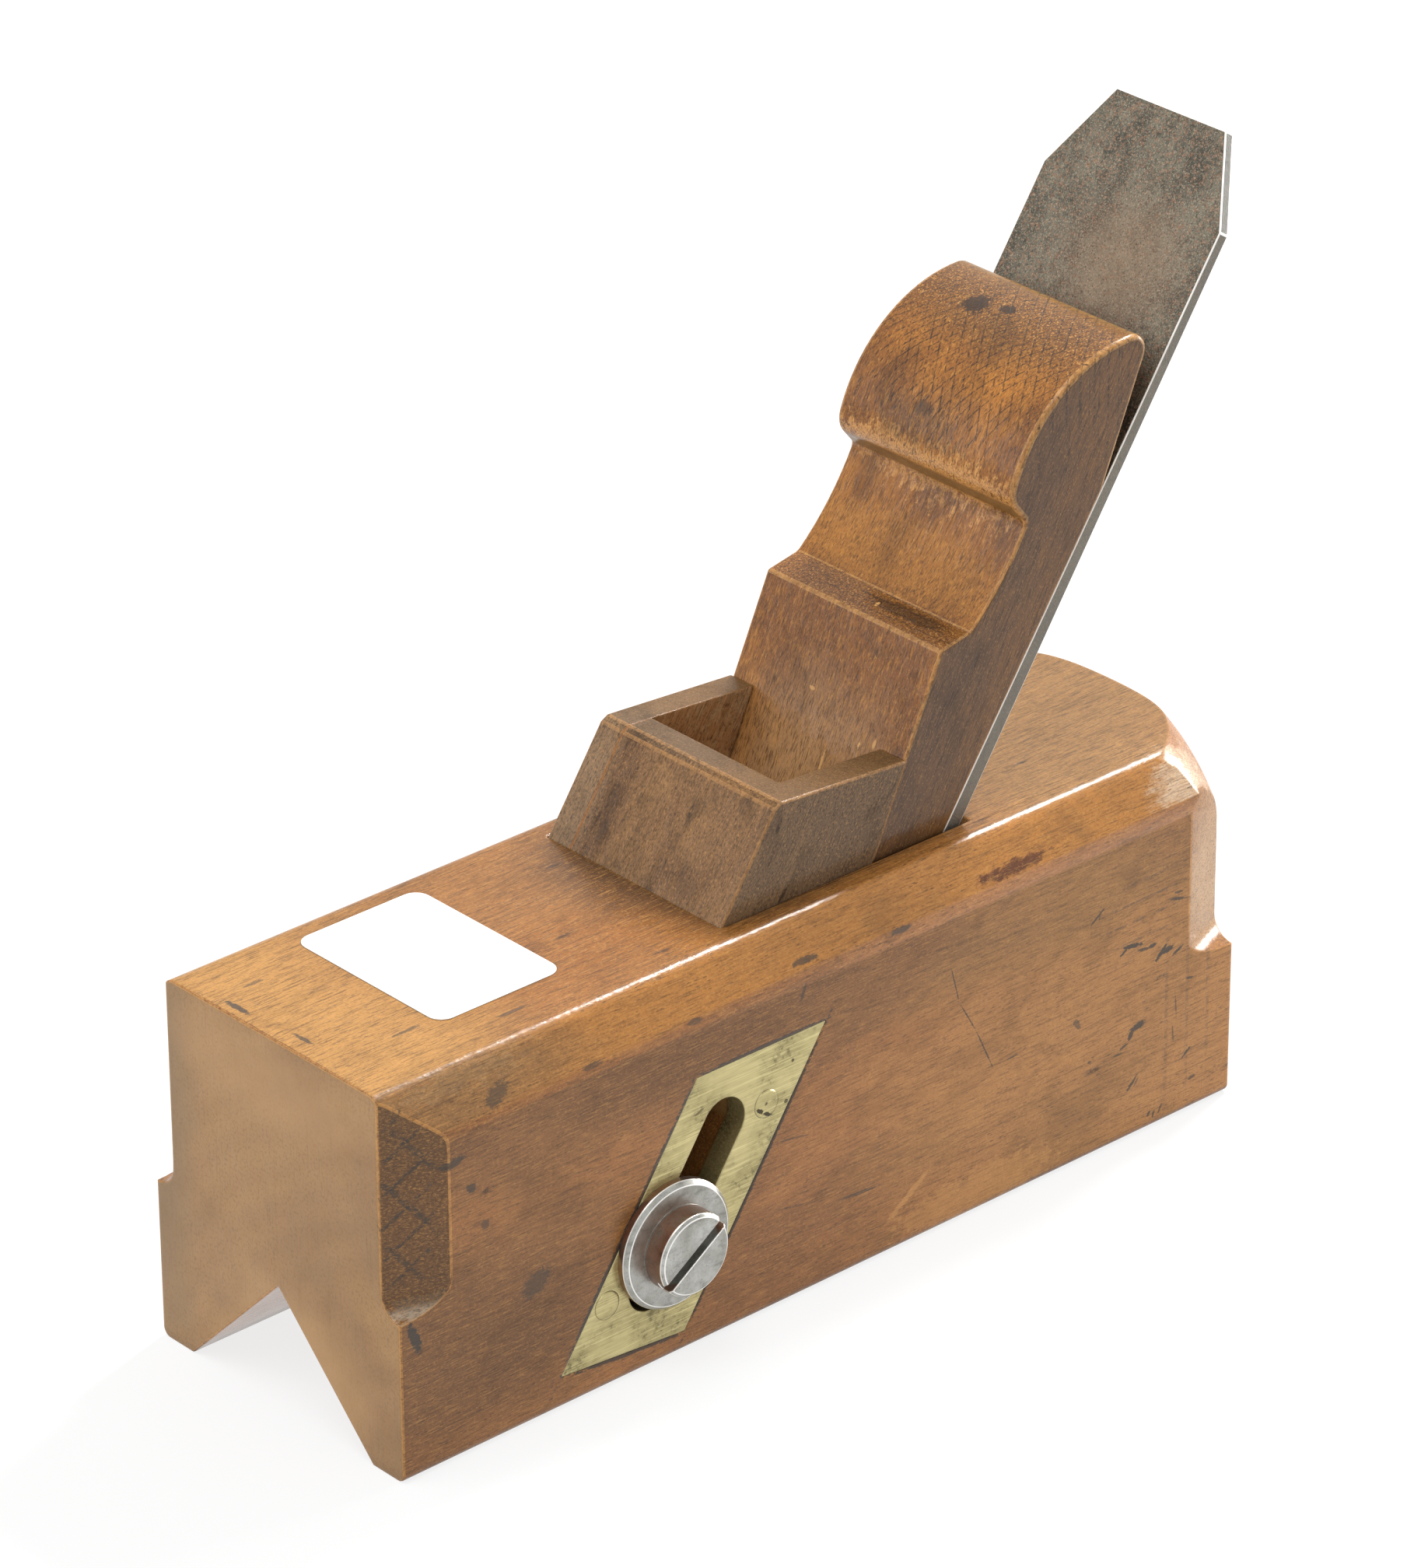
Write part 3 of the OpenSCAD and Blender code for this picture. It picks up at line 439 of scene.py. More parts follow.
(left, toe, _), (side, heel, top) = reach("stock")
ridge = [("X", 0.97, 0.9), ("Y", 0.8, 0.2), ("X", 0.2, 0.5)]      # the long top chamfers only
stockWood = {
    "name": "oiled_beech_stock",
    "pitch": 0,         # degrees: its grain runs from toe to heel
    "light": "#a26b3a", "base": "#86562c", "dark": "#412a13", "sheen": "#bb8848",
    "top": "#8f5d26", "end": "#a07a4c", "endDark": "#765633", "ray": "#2e1d0c",
    "worn": "#d49a55", "dirt": "#35302a",
    "shine": 0.45, "sideShine": 0.45,       # share of the glints, and of those on the sides
    "fine": 0.45, "topFine": 0.61,          # share of the fine dark lines, and on the top
    "speck": 0.24, "mottle": 0.25,          # share of the specks, and of the dark smudges
    "grimeAndShade": 0.5, "arris": 0.5,             # share of dirt and painted shade in corners, and of wear and painted highlight on arrises
    "edge": 0.8, "rough": 0.40, "coat": 0.5,    # mm of rounding in the light; oil film's share
    "glint": (0.24, 3.4, 0.24),         # mm; real flecks are finer and would not show
    "pith": (-46.0, 0.0, 30.0),         # mm, from the middle of the growth rings
    "tight": ((side, -31.0, 25.5), (4, 32, 23)),      # round the let-in plate, black with dirt
    "endZones": [
        # darker at the left of the toe, painted shade; paler low down, painted light; paler along
        # its top
        {"where": ((-30, toe, 40), (10, 4, 40), 0, 0.7), "soft": 0.9, "colour": "#7c6547"},
        {"where": ((6, toe, 10), (18, 4, 13), 0, 0.6), "soft": 0.9, "colour": "#bb9262"},
        {"where": ((2, toe, 56), (22, 4, 7), 0, 0.5), "soft": 0.9, "colour": "#b08658"},
    ],
    "zones": [      # centre, half sizes, turn and depth; how soft; the faces that it stays on
        {"where": ((12, -36, top), (13, 24, 4), 0, 0.6), "soft": 0.9, "colour": "#8f5518",
         "facing": [("Z", 0.7, 0.95)]},
        {"where": ((0, toe - 4, top), (40, 34, 4), 0, 0.55), "soft": 0.9, "colour": "#c89650",
         "facing": [("Z", 0.7, 0.95)]},
        {"where": ((0, 62, top), (40, 34, 4), 0, 0.7), "soft": 0.9, "colour": "#96703f",
         "facing": [("Z", 0.7, 0.95)]},
        {"where": ((-3, -6, top), (26, 20, 3), 0, 0.95), "soft": 0.9, "colour": "#4c3019",
         "facing": [("Z", 0.7, 0.95)]},     # painted shadow round the box's foot
        {"where": ((side, -10, 50), (3, 150, 10), 0, 0.42), "soft": 0.8, "colour": "#553c20",
         "facing": [("X", 0.985, 0.995)]},
        {"where": ((side, -80, 20), (3, 50, 22), 0, 0.45), "soft": 0.9, "colour": "#5a3f22",
         "facing": [("X", 0.98, 0.99)]},
        {"where": ((side, 66, 20), (3, 54, 40), 0, 0.4), "soft": 0.9, "colour": "#b8864a",
         "facing": [("X", 0.98, 0.99)]},
        {"where": ((26.5, 0, 59.5), (6, 300, 9), 0, 0.8), "soft": 0.3, "colour": "#ab7232",
         "facing": ridge},
        {"where": ((26.5, -78, 59.5), (6, 30, 9), 0, 0.75), "soft": 0.8, "colour": "#7a5a38",
         "facing": ridge},
        {"where": ((25.4, -71, 61.8), (2.0, 12, 2.0), 0, 0.16), "soft": 0.5, "torn": 4.4,
         "colour": "#b79a70"},
        {"where": ((0, toe, top - 0.1), (30, 0.55, 0.55), 0, 0.8), "soft": 0.4, "torn": 1.6,
         "colour": "#63310f"},              # along the toe's top edge
        {"where": ((29, -80, 28.4), (6, 10, 1.7), 0, 0.75), "soft": 0.4, "torn": 2.0,
         "colour": "#a99c88", "facing": [("X", 0.95, 0.85)]},       # the gouge-cut stop
        {"where": ((28, -80, 47), (9, 20, 60), 0, 0.85), "soft": 0.1, "colour": "#573c22",
         "facing": [("Y", 0.22, 0.33), ("Y", 0.8, 0.72)]},          # the toe's upright chamfer
        # painted highlight where the chamfer turns at the heel
        {"where": ((25, 76, 58.5), (6, 7, 5), 0, 0.6), "soft": 0.9, "torn": 2.0,
         "colour": "#e6d0b4", "facing": [("Z", 0.3, 0.45)]},
        # painted glare on the heel's upright chamfer
        {"where": ((28, 84, 40), (9, 11, 17), 0, 0.45), "soft": 1.1, "colour": "#d2b48c",
         "facing": [("Y", 0.15, 0.4), ("Y", 0.9, 0.75), ("Z", 0.75, 0.5)]},
        {"where": ((28, 38.5, 57.6), (3, 7.5, 1.1), 0, 0.85), "soft": 0.5, "torn": 2.6,
         "colour": "#4a1c10"},
    ],
    "marks": onSide([
        (-43, 4.5, 12.8, 0.5, -5, 0.7),         # dirt along the plate's edges
        (-16.1, 25, 27.5, 0.5, boxPitch, 0.7),
        (-14.9, 46.7, 13.8, 0.5, 0, 0.7),
        (-41.8, 26.2, 26, 0.6, boxPitch, 0.75),
        (-60, 24, 3.6, 2.0, 30, 0.5),           # dents ahead of the plate
        (-72, 45, 1.0, 1.0, 0, 0.6),
        (-69.5, 38, 0.8, 0.8, 0, 0.5),
        (-75.5, 50.5, 2.6, 0.8, 10, 0.6),
        (37.5, 25, 1.7, 0.22, 5, 0.5),          # knocks between the plate and the heel
        (51.5, 25.5, 1.2, 0.6, -45, 0.5),
        (54.5, 17.5, 0.5, 0.35, -10, 0.5),
        (55.5, 43, 1.9, 0.25, 35, 0.6),
        (56, 43, 1.0, 0.2, 85, 0.5),
        (5, 13.5, 4.6, 0.3, -5, 0.5),
        (-8.5, 28.5, 3.4, 0.2, -10, 0.45),
        (-8.5, 16.5, 3.4, 0.2, -10, 0.4),
        (-6.5, 53, 1.8, 0.4, 65, 0.5),
        (27.5, 6, 1.1, 0.9, 5, 0.3),
        (61.5, 34.5, 1.0, 0.3, 30, 0.75),       # scraped patch at the heel
        (63.5, 35, 2.4, 0.4, -10, 0.8),
        (66, 33.5, 1.7, 0.3, -10, 0.65),
        (68, 33.5, 1.0, 0.4, 0, 0.75),
        (70, 31.5, 1.9, 0.5, 45, 0.85),
        (71.5, 31.5, 1.3, 0.6, 10, 0.85),
        (73.5, 30.5, 1.4, 0.3, 25, 0.7),
        (73, 40, 2.4, 0.35, -15, 0.65),
        (73.5, 41, 1.0, 0.25, -10, 0.6),
        (65, 20, 1.9, 0.7, 10, 0.75),           # scrapes below it
        (63.5, 19, 1.4, 0.5, 65, 0.7),
        (62, 17.5, 1.0, 0.35, 20, 0.65),
        (60.5, 16.5, 1.3, 0.25, 0, 0.5),
        (64, 10, 1.9, 0.35, 45, 0.65),
        (65, 10, 1.0, 0.2, 55, 0.5),
        (68, 3, 0.7, 0.3, 55, 0.6),
        (69, 2.5, 0.7, 0.3, 70, 0.6),
        (70.5, 3, 1.1, 0.25, 65, 0.55),
        (73.5, 20.5, 2.1, 0.2, -85, 0.5),
        (73, 15.5, 1.9, 0.2, -85, 0.5),
        (76.5, 24.5, 1.1, 0.3, -10, 0.6),
        (76, 11, 1.3, 0.3, 35, 0.6),
        (77.5, 6, 1.0, 0.4, 5, 0.6),
    ]) + stroke([(24, 46.5), (26, 39), (29.5, 33), (33.5, 24.5)], 0.16, 0.6) + [    # the crack
        # centre, half sizes, turn and depth
        ((side, -83.3, 24.2), (3.0, 1.0, 3.2), 20, 0.95),       # chip at the gouge-cut stop
        ((-10.2, -83.8, top), (3.2, 0.6, 2.0), 0, 0.7),         # knocks on the top
        ((3.6, -82.6, top), (2.4, 0.5, 2.0), 0, 0.6),
        ((-14.1, -77.6, top), (0.4, 2.2, 2.0), 0, 0.5),
        ((18, -55, top), (0.5, 3.0, 2.0), 0, 0.5),
        ((12, -70, top), (0.4, 2.8, 2.0), 0, 0.5),
        ((27, -66, 57.6), (1.5, 3.4, 1.4), 30, 0.5),            # knocks on the chamfer
        ((27.4, -5, 57.6), (1.5, 3.0, 0.6), 0, 0.6),
        ((27.9, 14, 56), (1.5, 2.4, 0.5), 0, 0.6),
        ((27.9, -48, 56.2), (1.5, 2.0, 0.5), 0, 0.5),
        ((27.9, -28, 56), (1.5, 1.6, 0.5), 0, 0.5),
        ((left, -62, 30), (2.0, 3.4, 0.3), 14, 0.5),            # the side that it is laid on
        ((left, -20, 14), (2.0, 5.2, 0.25), -6, 0.5),
        ((left, 18, 36), (2.0, 1.3, 0.8), 30, 0.55),
        ((left, 47, 21), (2.0, 2.6, 0.35), 52, 0.6),
        ((left, 66, 33), (2.0, 2.2, 0.5), -20, 0.6),
        ((-27.9, 30, 56.5), (1.5, 2.2, 0.5), 0, 0.5),
        ((9, heel, 24), (1.6, 2.0, 0.6), 0, 0.5),
        ((-12, heel, 40), (2.4, 2.0, 0.3), 0, 0.45),
    ],
    "pale": onSide([
        (15.5, 8.8, 0.7, 6.0, -55, 0.35),       # a rubbed streak and the foot of the side
        (30, 4, 18, 4, 0, 0.25),
    ]),
    "hatches": [    # turn in degrees, gap between its lines in mm
        {"where": ((27, -82.6, 45), (5, 4.4, 17)), "turn": (30, 0, 45), "gap": 1.9, "dark": 0.8},
        {"where": ((27, -82.6, 45), (5, 4.4, 17)), "turn": (-24, 0, 45), "gap": 3.0,
         "dark": 0.7},
        {"where": ((side, 75, 18), (3, 9, 15)), "turn": (0, 0, 90), "gap": 4.6, "dark": 0.3},
        {"where": ((side, 66, 40), (3, 10, 8)), "turn": (0, 90, 0), "gap": 3.4, "dark": 0.45},
    ],
}


def stockEdge(at):
    # how wide each of the stock's arrises has worn, in mm
    if at.x > 24 and -60 < at.y < 3 and 2 < at.z < 48:
        return 0.06         # round the let-in plate and its slot
    if abs(at.x) < 20.2 and -54 < at.y < 40:
        return 0.2          # mortise
    if abs(at.x) > 24 and 27 < at.z < 31.5:
        return 0.12         # gouge-cut stops
    if at.y > 68 and at.z > 48:
        return 0.0          # the heel is rounded over already
    return 0.3


broken("stock", beech(stockWood), 0.5, stockEdge)
print("stock made")

(joint, _, _), (cheek, _, rim) = reach("box_block")
boxWood = {
    "name": "dark_beech_box",
    "pitch": boxPitch,
    "light": "#9a7246", "base": "#735234", "dark": "#2b1c0e", "sheen": "#94724a",
    "top": "#6f4f2c", "end": "#6f5230", "endDark": "#40301e", "ray": "#22160a",
    "worn": "#bd8c58", "dirt": "#241809",
    "shine": 0.3, "sideShine": 0.3, "fine": 0.45, "topFine": 0.61, "speck": 0.5,
    "mottle": 0.55, "grimeAndShade": 0.05, "arris": 0.45, "edge": 0.6, "rough": 0.46, "coat": 0.25,
    "glint": (0.24, 3.4, 0.24), "pith": (30.0, 0.0, -60.0),
    "zones": [
        {"where": ((-18, -12, 70), (5, 22, 14), 0, 0.45), "soft": 0.9, "colour": "#a38a6c"},
        {"where": ((-7, -1, rim), (13, 5, 2), 0, 0.6), "soft": 0.8, "colour": "#453f38",
         "facing": [("Z", 0.7, 0.95)]},
        {"where": ((cheek, -10, 70), (2, 90, 30), 0, 0.5), "soft": 0.9, "colour": "#5f5344",
         "facing": [("X", 0.9, 0.99)]},
        {"where": ((joint + 0.45, 0, 60), (1.4, 90, 60), 0, 0.95), "soft": 0.2,
         "colour": "#c9a478", "facing": [("X", 0.9, 0.99)]},        # inside of the left cheek, painted paler as light inside the box
        {"where": ((joint, -30, 50), (0.3, 60, 60), 0, 0.6), "soft": 0.4, "torn": 1.2,
         "colour": "#a8662a"},                                      # glue line
        {"where": ((cheek, -27, 30), (1.5, 14, 16), 0, 0.8), "soft": 0.3, "colour": "#33241a",
         "facing": [("X", 0.9, 0.99)]},                             # painted shade on the cheek, seen down the slot
    ],
}


def boxEdge(at):
    return 0.04 if abs(at.x - joint) < 0.1 else 0.35      # the glued joint stays tight


darkBeech = beech(boxWood)
broken("box_block", darkBeech, 0.35, boxEdge)
broken("box_left_cheek", darkBeech, 0.35, boxEdge)
print("box made")

front = [("X", 0.3, 0.1)]       # all but the wedge's two sides
wedgeWood = {
    "name": "handled_beech_wedge",
    "pitch": wedgePitch,
    "light": "#af702b", "base": "#7c4b1f", "dark": "#2a1808", "sheen": "#dd9c40",
    "top": "#855424", "end": "#84602f", "endDark": "#553c1f", "ray": "#2a1a0a",
    "worn": "#e0ab68", "dirt": "#2a1a0c",
    "shine": 0.3, "sideShine": 0.09, "fine": 0.65, "topFine": 0.88, "speck": 0.2,
    "mottle": 0.32, "grimeAndShade": 0.5, "arris": 0.42, "edge": 0.8, "rough": 0.38, "coat": 0.5,
    "glint": (0.42, 2.4, 0.42), "pith": (26.0, 0.0, -48.0),
    "zones": [
        # painted light on the wedge's lower face, inside the box
        {"where": ((0, 15, 60), (26, 24, 22), 0, 0.66), "soft": 1.1, "colour": "#d4a87a",
         "facing": front},
        # painted sheen near the lip
        {"where": ((0, 45, 113), (24, 5, 5), 0, 0.7), "soft": 0.4, "torn": 3.2,
         "colour": "#dba05c", "facing": front},
        {"where": ((20, 40, 90), (6, 80, 90), 0, 0.75), "soft": 0.5, "colour": "#453628",
         "facing": [("X", 0.8, 0.95)]},
        {"where": ((0, 60, 136), (30, 14, 6), 0, 0.5), "soft": 0.9, "colour": "#50351a"},
        {"where": ((-2, 46, 120), (8, 4, 4), 0, 0.45), "soft": 0.9, "torn": 3.0,
         "colour": "#3c2c1c"},
        {"where": ((0, 40, 101), (30, 5, 9), 0, 0.5), "soft": 0.8, "colour": "#b67a34",
         "facing": front},
    ],
    "marks": [
        ((-7, 62, 134), (2.4, 2.4, 2.5), 0, 0.9),       # on the nose
        ((-1.5, 63.5, 134), (1.6, 1.1, 2.5), 0, 0.85),
        ((-3, 47.5, 122), (2.2, 2.0, 1.2), 0, 0.45),
        ((8, 34, 95.2), (9.0, 1.6, 1.4), 0, 0.5),       # on the step
    ],
    "pale": [       # fresh scratches in the box
        ((3.5, 20.2, 72.5), (0.3, 1.0, 2.6), 0, 0.75),
        ((4.6, 18.6, 69), (0.3, 1.0, 2.2), 0, 0.65),
        ((9.6, 22.6, 77), (0.35, 0.8, 1.1), 0, 0.8),
        ((12.6, 23, 78.6), (0.3, 0.8, 0.9), 0, 0.7),
        ((-3, 24.4, 82), (0.6, 0.8, 0.3), 0, 0.6),
        ((2, 33, 95.5), (0.5, 0.7, 0.5), 0, 0.85),
    ],
    "hatches": [
        {"where": ((0, 60, 129), (24, 22, 17)), "turn": (0, 0, 42), "gap": 1.4, "dark": 0.8},
        {"where": ((4, 58, 129), (20, 22, 17)), "turn": (0, 0, -36), "gap": 1.7, "dark": 0.75},
        {"where": ((4, 33.5, 95.5), (19, 3.2, 2)), "turn": (0, 0, 88), "gap": 1.4, "dark": 0.7},
    ],
}


def wedgeEdge(at):
    return 0.8 if at.z > 110 else 0.45      # the nose is handled most


broken("wedge", beech(wedgeWood), 0.8, wedgeEdge)
print("wedge made")

brassPlate = {
    "name": "filed_brass",
    "bright": "#dccf98", "base": "#bdb07e", "tarnish": "#8f8459", "pit": "#3a3222",
    "edge": "#d8cf9d", "metallic": 0.75, "rough": 0.22, "arris": 0.08,
    "noises": {     # mm; a smooth file's lines are under 0.1 mm apart, drawn coarser to show
        "lines": {"size": (0.5, 12.0, 0.22), "turn": -9},
        "crossLines": {"size": (0.5, 8.0, 0.4), "turn": 20},
        "scratches": {"size": (0.5, 5.0, 0.12), "turn": -64},
        "cloud": {"size": (6, 8, 6)},
        "ragged": {"size": (0.7, 0.9, 0.7)},
    },
    "layers": [
        ("tarnish", "cloud", 0.40, 0.64, 0.85),
        ("bright", "lines", 0.48, 0.66, 0.75),
        ("tarnish", "crossLines", 0.55, 0.70, 0.5),
        ("bright", "scratches", 0.68, 0.76, 0.6),
        ("pit", "dirty", 0.30, 0.42, 0.6),
        # paler on the arrises: filed bright, and painted highlight
        ("edge", "strip", 0, 1, 0.8),
        ("pit", "marks", 0, 1, 1.0),
    ],
    "marks": onSide([       # dents that hold dirt
        (-15.4, 35.9, 0.9, 0.35, -28, 0.95),
        (-13.6, 34.7, 1.1, 0.35, -28, 0.95),
        (-14.0, 36.7, 0.4, 0.4, 0, 0.85),
        (-10.0, 35.6, 0.4, 0.35, 0, 0.8),
        (-8.6, 42.2, 0.3, 0.35, 0, 0.8),
        (-20.4, 38.9, 0.3, 1.0, -30, 0.7),
        (-27.5, 40.5, 1.0, 0.3, 20, 0.6),
    ]),
}


def filedBrass(look):
    # cast brass plate, draw-filed along its length and tarnished: olive yellow, fine lines
    material, tree = newMaterial(look["name"])
    point, _ = surfacePlaces(tree)
    seen = noises(tree, point, look["noises"])
    seen["dirty"] = part(tree, seen, "ragged", 0, 1, 0.0, 1.0, "cloud")
    seen["strip"] = add(tree, "ShaderNodeAttribute", None, "Fac", attribute_name="arris")
    seen["marks"] = stains(tree, point, seen["ragged"], look["marks"])
    colour = layers(tree, linear(look["base"]), look, seen, look["layers"], ease="LINEAR")
    rounded = add(tree, "ShaderNodeBevel", {"Radius": 0.45 * mm}, 0, samples=4)
    relief = add(tree, "ShaderNodeBump", {"Height": seen["lines"], "Strength": 0.5,
                 "Distance": 0.03 * mm, "Normal": rounded}, 0)
    dull = part(tree, seen, "cloud", 0, 1, look["rough"], look["rough"] + 0.3)
    surface = add(tree, "ShaderNodeBsdfPrincipled", {"Base Color": colour, "Roughness": dull,
                  "Metallic": look["metallic"], "Normal": relief}, 0)
    add(tree, "ShaderNodeOutputMaterial", {0: surface})
    return material


brass = filedBrass(brassPlate)
broken("slot_plate", brass, brassPlate["arris"])
print("plate made")

ironSteel = {
    "name": "forged_iron",
    "bright": "#b3a992", "base": "#6d685a", "rust": "#8f6850", "dark": "#2d2c26",
    "tan": "#8f7860", "ground": "#746f66", "edge": "#efece6",
    "metallic": 0.6, "rough": 0.30, "arris": 0.2,
    "rubbed": ((4.0, 79.0, 142.0), (12, 9, 13), 0, 0.5, 0.8),   # a patch near its top
    "noises": {     # mm; real rust pits are finer, and these are drawn to show
        "cloud": {"size": (8, 11, 11)},
        "blotch": {"size": (1.3, 1.7, 1.7)},
        "fleck": {"size": (0.55, 0.6, 0.6)},
        "pits": {"size": (0.24, 0.27, 0.27)},
    },
    "layers": [
        ("dark", "cloud", 0.44, 0.62, 0.7),
        ("dark", "blotch", 0.48, 0.66, 0.65),
        ("rust", "fleck", 0.50, 0.60, 0.6),
        ("bright", "pits", 0.53, 0.64, 0.5),
        ("tan", "rubbed", 0, 1, 1.0),
        ("dark", "pits", 0.45, 0.32, 0.85),
        ("ground", "side", 0.6, 0.9, 0.75),
        ("dark", "clipped", 0.3, 0.6, 0.8),
        # near white on the arrises: painted highlight
        ("edge", "strip", 0, 1, 0.9),
    ],
}


def forgedIron(look):
    # forged and ground plane iron with old rust: brown-grey, pitted, brighter where it rubs
    material, tree = newMaterial(look["name"])
    point, normal = surfacePlaces(tree)
    seen = noises(tree, point, look["noises"])
    unsigned = add(tree, "ShaderNodeVectorMath", {0: normal}, 0, operation="ABSOLUTE")
    seen["side"] = add(tree, "ShaderNodeSeparateXYZ", {0: unsigned}, "X")
    seen["clipped"] = part(tree, seen, "side", 0.99, 0.93, 0.0, 1.0, "side", ease="LINEAR")
    seen["rubbed"] = stain(tree, point, seen["fleck"], *look["rubbed"])
    seen["strip"] = add(tree, "ShaderNodeAttribute", None, "Fac", attribute_name="arris")
    colour = layers(tree, linear(look["base"]), look, seen, look["layers"], ease="LINEAR")
    height = add(tree, "ShaderNodeMath", {0: seen["pits"], 1: 0.8, 2: seen["fleck"]}, 0,
                 operation="MULTIPLY_ADD")
    relief = add(tree, "ShaderNodeBump", {"Height": height, "Strength": 0.6,
                 "Distance": 0.14 * mm}, 0)
    dull = part(tree, seen, "blotch", 0, 1, look["rough"], look["rough"] + 0.3)
    surface = add(tree, "ShaderNodeBsdfPrincipled", {"Base Color": colour, "Roughness": dull,
                  "Metallic": look["metallic"], "Normal": relief}, 0)
    add(tree, "ShaderNodeOutputMaterial", {0: surface})
    return material


broken("iron", forgedIron(ironSteel), ironSteel["arris"])
print("iron made")

steelScrew = {
    "name": "turned_steel",
    "bright": "#bfbfba", "base": "#93928b", "rust": "#93684f", "dark": "#45413a",
    "edge": "#f2f0ec", "metallic": 0.9, "rough": 0.33, "washerArris": 0.1, "screwArris": 0.12,
    "axis": (30.0, -33.46, 20.5),   # mm, a place on the screw's axis, which is parallel to X
    "feed": 0.35,                   # mm between turning rings; real ones are finer
    "clean": (6.0, 6.6),            # mm from that place, where rust starts and is full
    "noises": {
        "cloud": {"size": (5.5, 5.5, 5.5)},
        "specks": {"size": (0.35, 0.35, 0.35)},
        "smears": {"size": (2.0, 2.6, 1.1), "turn": 35},
    },
    "layers": [
        ("bright", "cloud", 0.38, 0.66, 0.8),
        ("rust", "rusty", 0.20, 0.50, 0.85),
        ("dark", "smears", 0.52, 0.70, 0.4),
        ("dark", "specks", 0.57, 0.72, 0.55),
        # near white on the arrises: painted highlight
        ("edge", "strip", 0, 1, 0.9),
    ],
}


def turnedSteel(look):
    # mild steel turned on a lathe, then dulled: grey, rings about its axis, rust on its sides
    material, tree = newMaterial(look["name"])
    point, normal = surfacePlaces(tree)
    seen = noises(tree, point, look["noises"])
    onAxis = add(tree, "ShaderNodeVectorMath", {0: point, 1: look["axis"]}, 0,
                 operation="SUBTRACT")
    rings = add(tree, "ShaderNodeTexWave", {"Vector": onAxis, "Scale": oneWave / look["feed"],
                "Distortion": 2.0, "Detail": 2.0}, 1, wave_type="RINGS", rings_direction="X")
    seen["outwards"] = add(tree, "ShaderNodeSeparateXYZ", {0: normal}, "X")
    seen["off"] = add(tree, "ShaderNodeVectorMath", {0: onAxis}, "Value", operation="LENGTH")
    seen["rim"] = part(tree, seen, "outwards", 0.4, 0.05, 0.0, 1.0, ease="LINEAR")
    seen["outside"] = part(tree, seen, "off", *look["clean"], 0.0, 1.0, ease="LINEAR")
    seen["rusty"] = part(tree, seen, "cloud", 0, 1, 0.0, 1.0, "rim", "outside")
    seen["strip"] = add(tree, "ShaderNodeAttribute", None, "Fac", attribute_name="arris")
    colour = layers(tree, linear(look["base"]), look, seen, look["layers"], ease="LINEAR")
    rounded = add(tree, "ShaderNodeBevel", {"Radius": 0.35 * mm}, 0, samples=4)
    relief = add(tree, "ShaderNodeBump", {"Height": rings, "Strength": 0.3,
                 "Distance": 0.015 * mm, "Normal": rounded}, 0)
    surface = add(tree, "ShaderNodeBsdfPrincipled", {"Base Color": colour, "Normal": relief,
                  "Metallic": look["metallic"], "Roughness": look["rough"]}, 0)
    add(tree, "ShaderNodeOutputMaterial", {0: surface})
    return material


steel = turnedSteel(steelScrew)
broken("clamp_washer", steel, steelScrew["washerArris"])
broken("clamp_screw", steel, steelScrew["screwArris"])
for node, material in (("plate_screws", brass), ("nut_plate", steel),
                       ("nut_plate_screws", steel)):
    shown = frame["nodes"][node]
    shown.data.materials.clear()
    shown.data.materials.append(material)
print("screws made")

label = {
    "low": (-20.0, -65.0), "high": (13.7, -41.0),       # mm, two corners on the stock's top
    "corner": 2.6, "steps": 8, "gap": 0.02, "thick": 0.14,
    "base": "#e6e4e0", "shade": "#dcd9d3", "rough": 0.45,
    "noises": {"fibre": {"size": (0.625, 0.625, 0.625), "detail": 3.0, "rough": 0.5}},
}


def gummedPaper(look):
    # blank gummed paper: smooth and a little shiny. Its fibres are drawn coarser than real
    material, tree = newMaterial("gummed_paper")
    point, _ = surfacePlaces(tree)
    seen = noises(tree, point, look["noises"])
    colour = layers(tree, linear(look["base"]), look, seen, [("shade", "fibre", 0, 1, 1.0)])
    relief = add(tree, "ShaderNodeBump", {"Height": seen["fibre"], "Strength": 0.15,
                 "Distance": 0.02 * mm}, 0)
    surface = add(tree, "ShaderNodeBsdfPrincipled", {"Base Color": colour, "Normal": relief,
                  "Roughness": look["rough"]}, 0)
    add(tree, "ShaderNodeOutputMaterial", {0: surface})
    return material


def paperLabel(look):
    # a thin slip with rounded corners, just clear of the stock's top
    outline = []
    (x0, y0), (x1, y1), r = look["low"], look["high"], look["corner"]
    for cx, cy, start in ((x1 - r, y1 - r, 0), (x0 + r, y1 - r, 90), (x0 + r, y0 + r, 180),
                          (x1 - r, y0 + r, 270)):
        for step in range(look["steps"] + 1):
            a = math.radians(start + step * 90 / look["steps"])
            outline.append((cx + r * math.cos(a), cy + r * math.sin(a)))
    work = bmesh.new()
    low, high = [[work.verts.new((x * mm, y * mm, (top + look[rise]) * mm)) for x, y in outline]
                 for rise in ("gap", "thick")]
    work.faces.new(list(reversed(low)))
    work.faces.new(high)
    for i in range(len(low)):
        j = (i + 1) % len(low)
        work.faces.new((low[i], low[j], high[j], high[i]))
    mesh = bpy.data.meshes.new("paper_label")
    work.to_mesh(mesh)
    work.free()
    mesh.materials.append(gummedPaper(look))
    piece = bpy.data.objects.new("paper_label", mesh)
    bpy.context.scene.collection.objects.link(piece)
    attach(piece, "stock")


paperLabel(label)
print("label made")

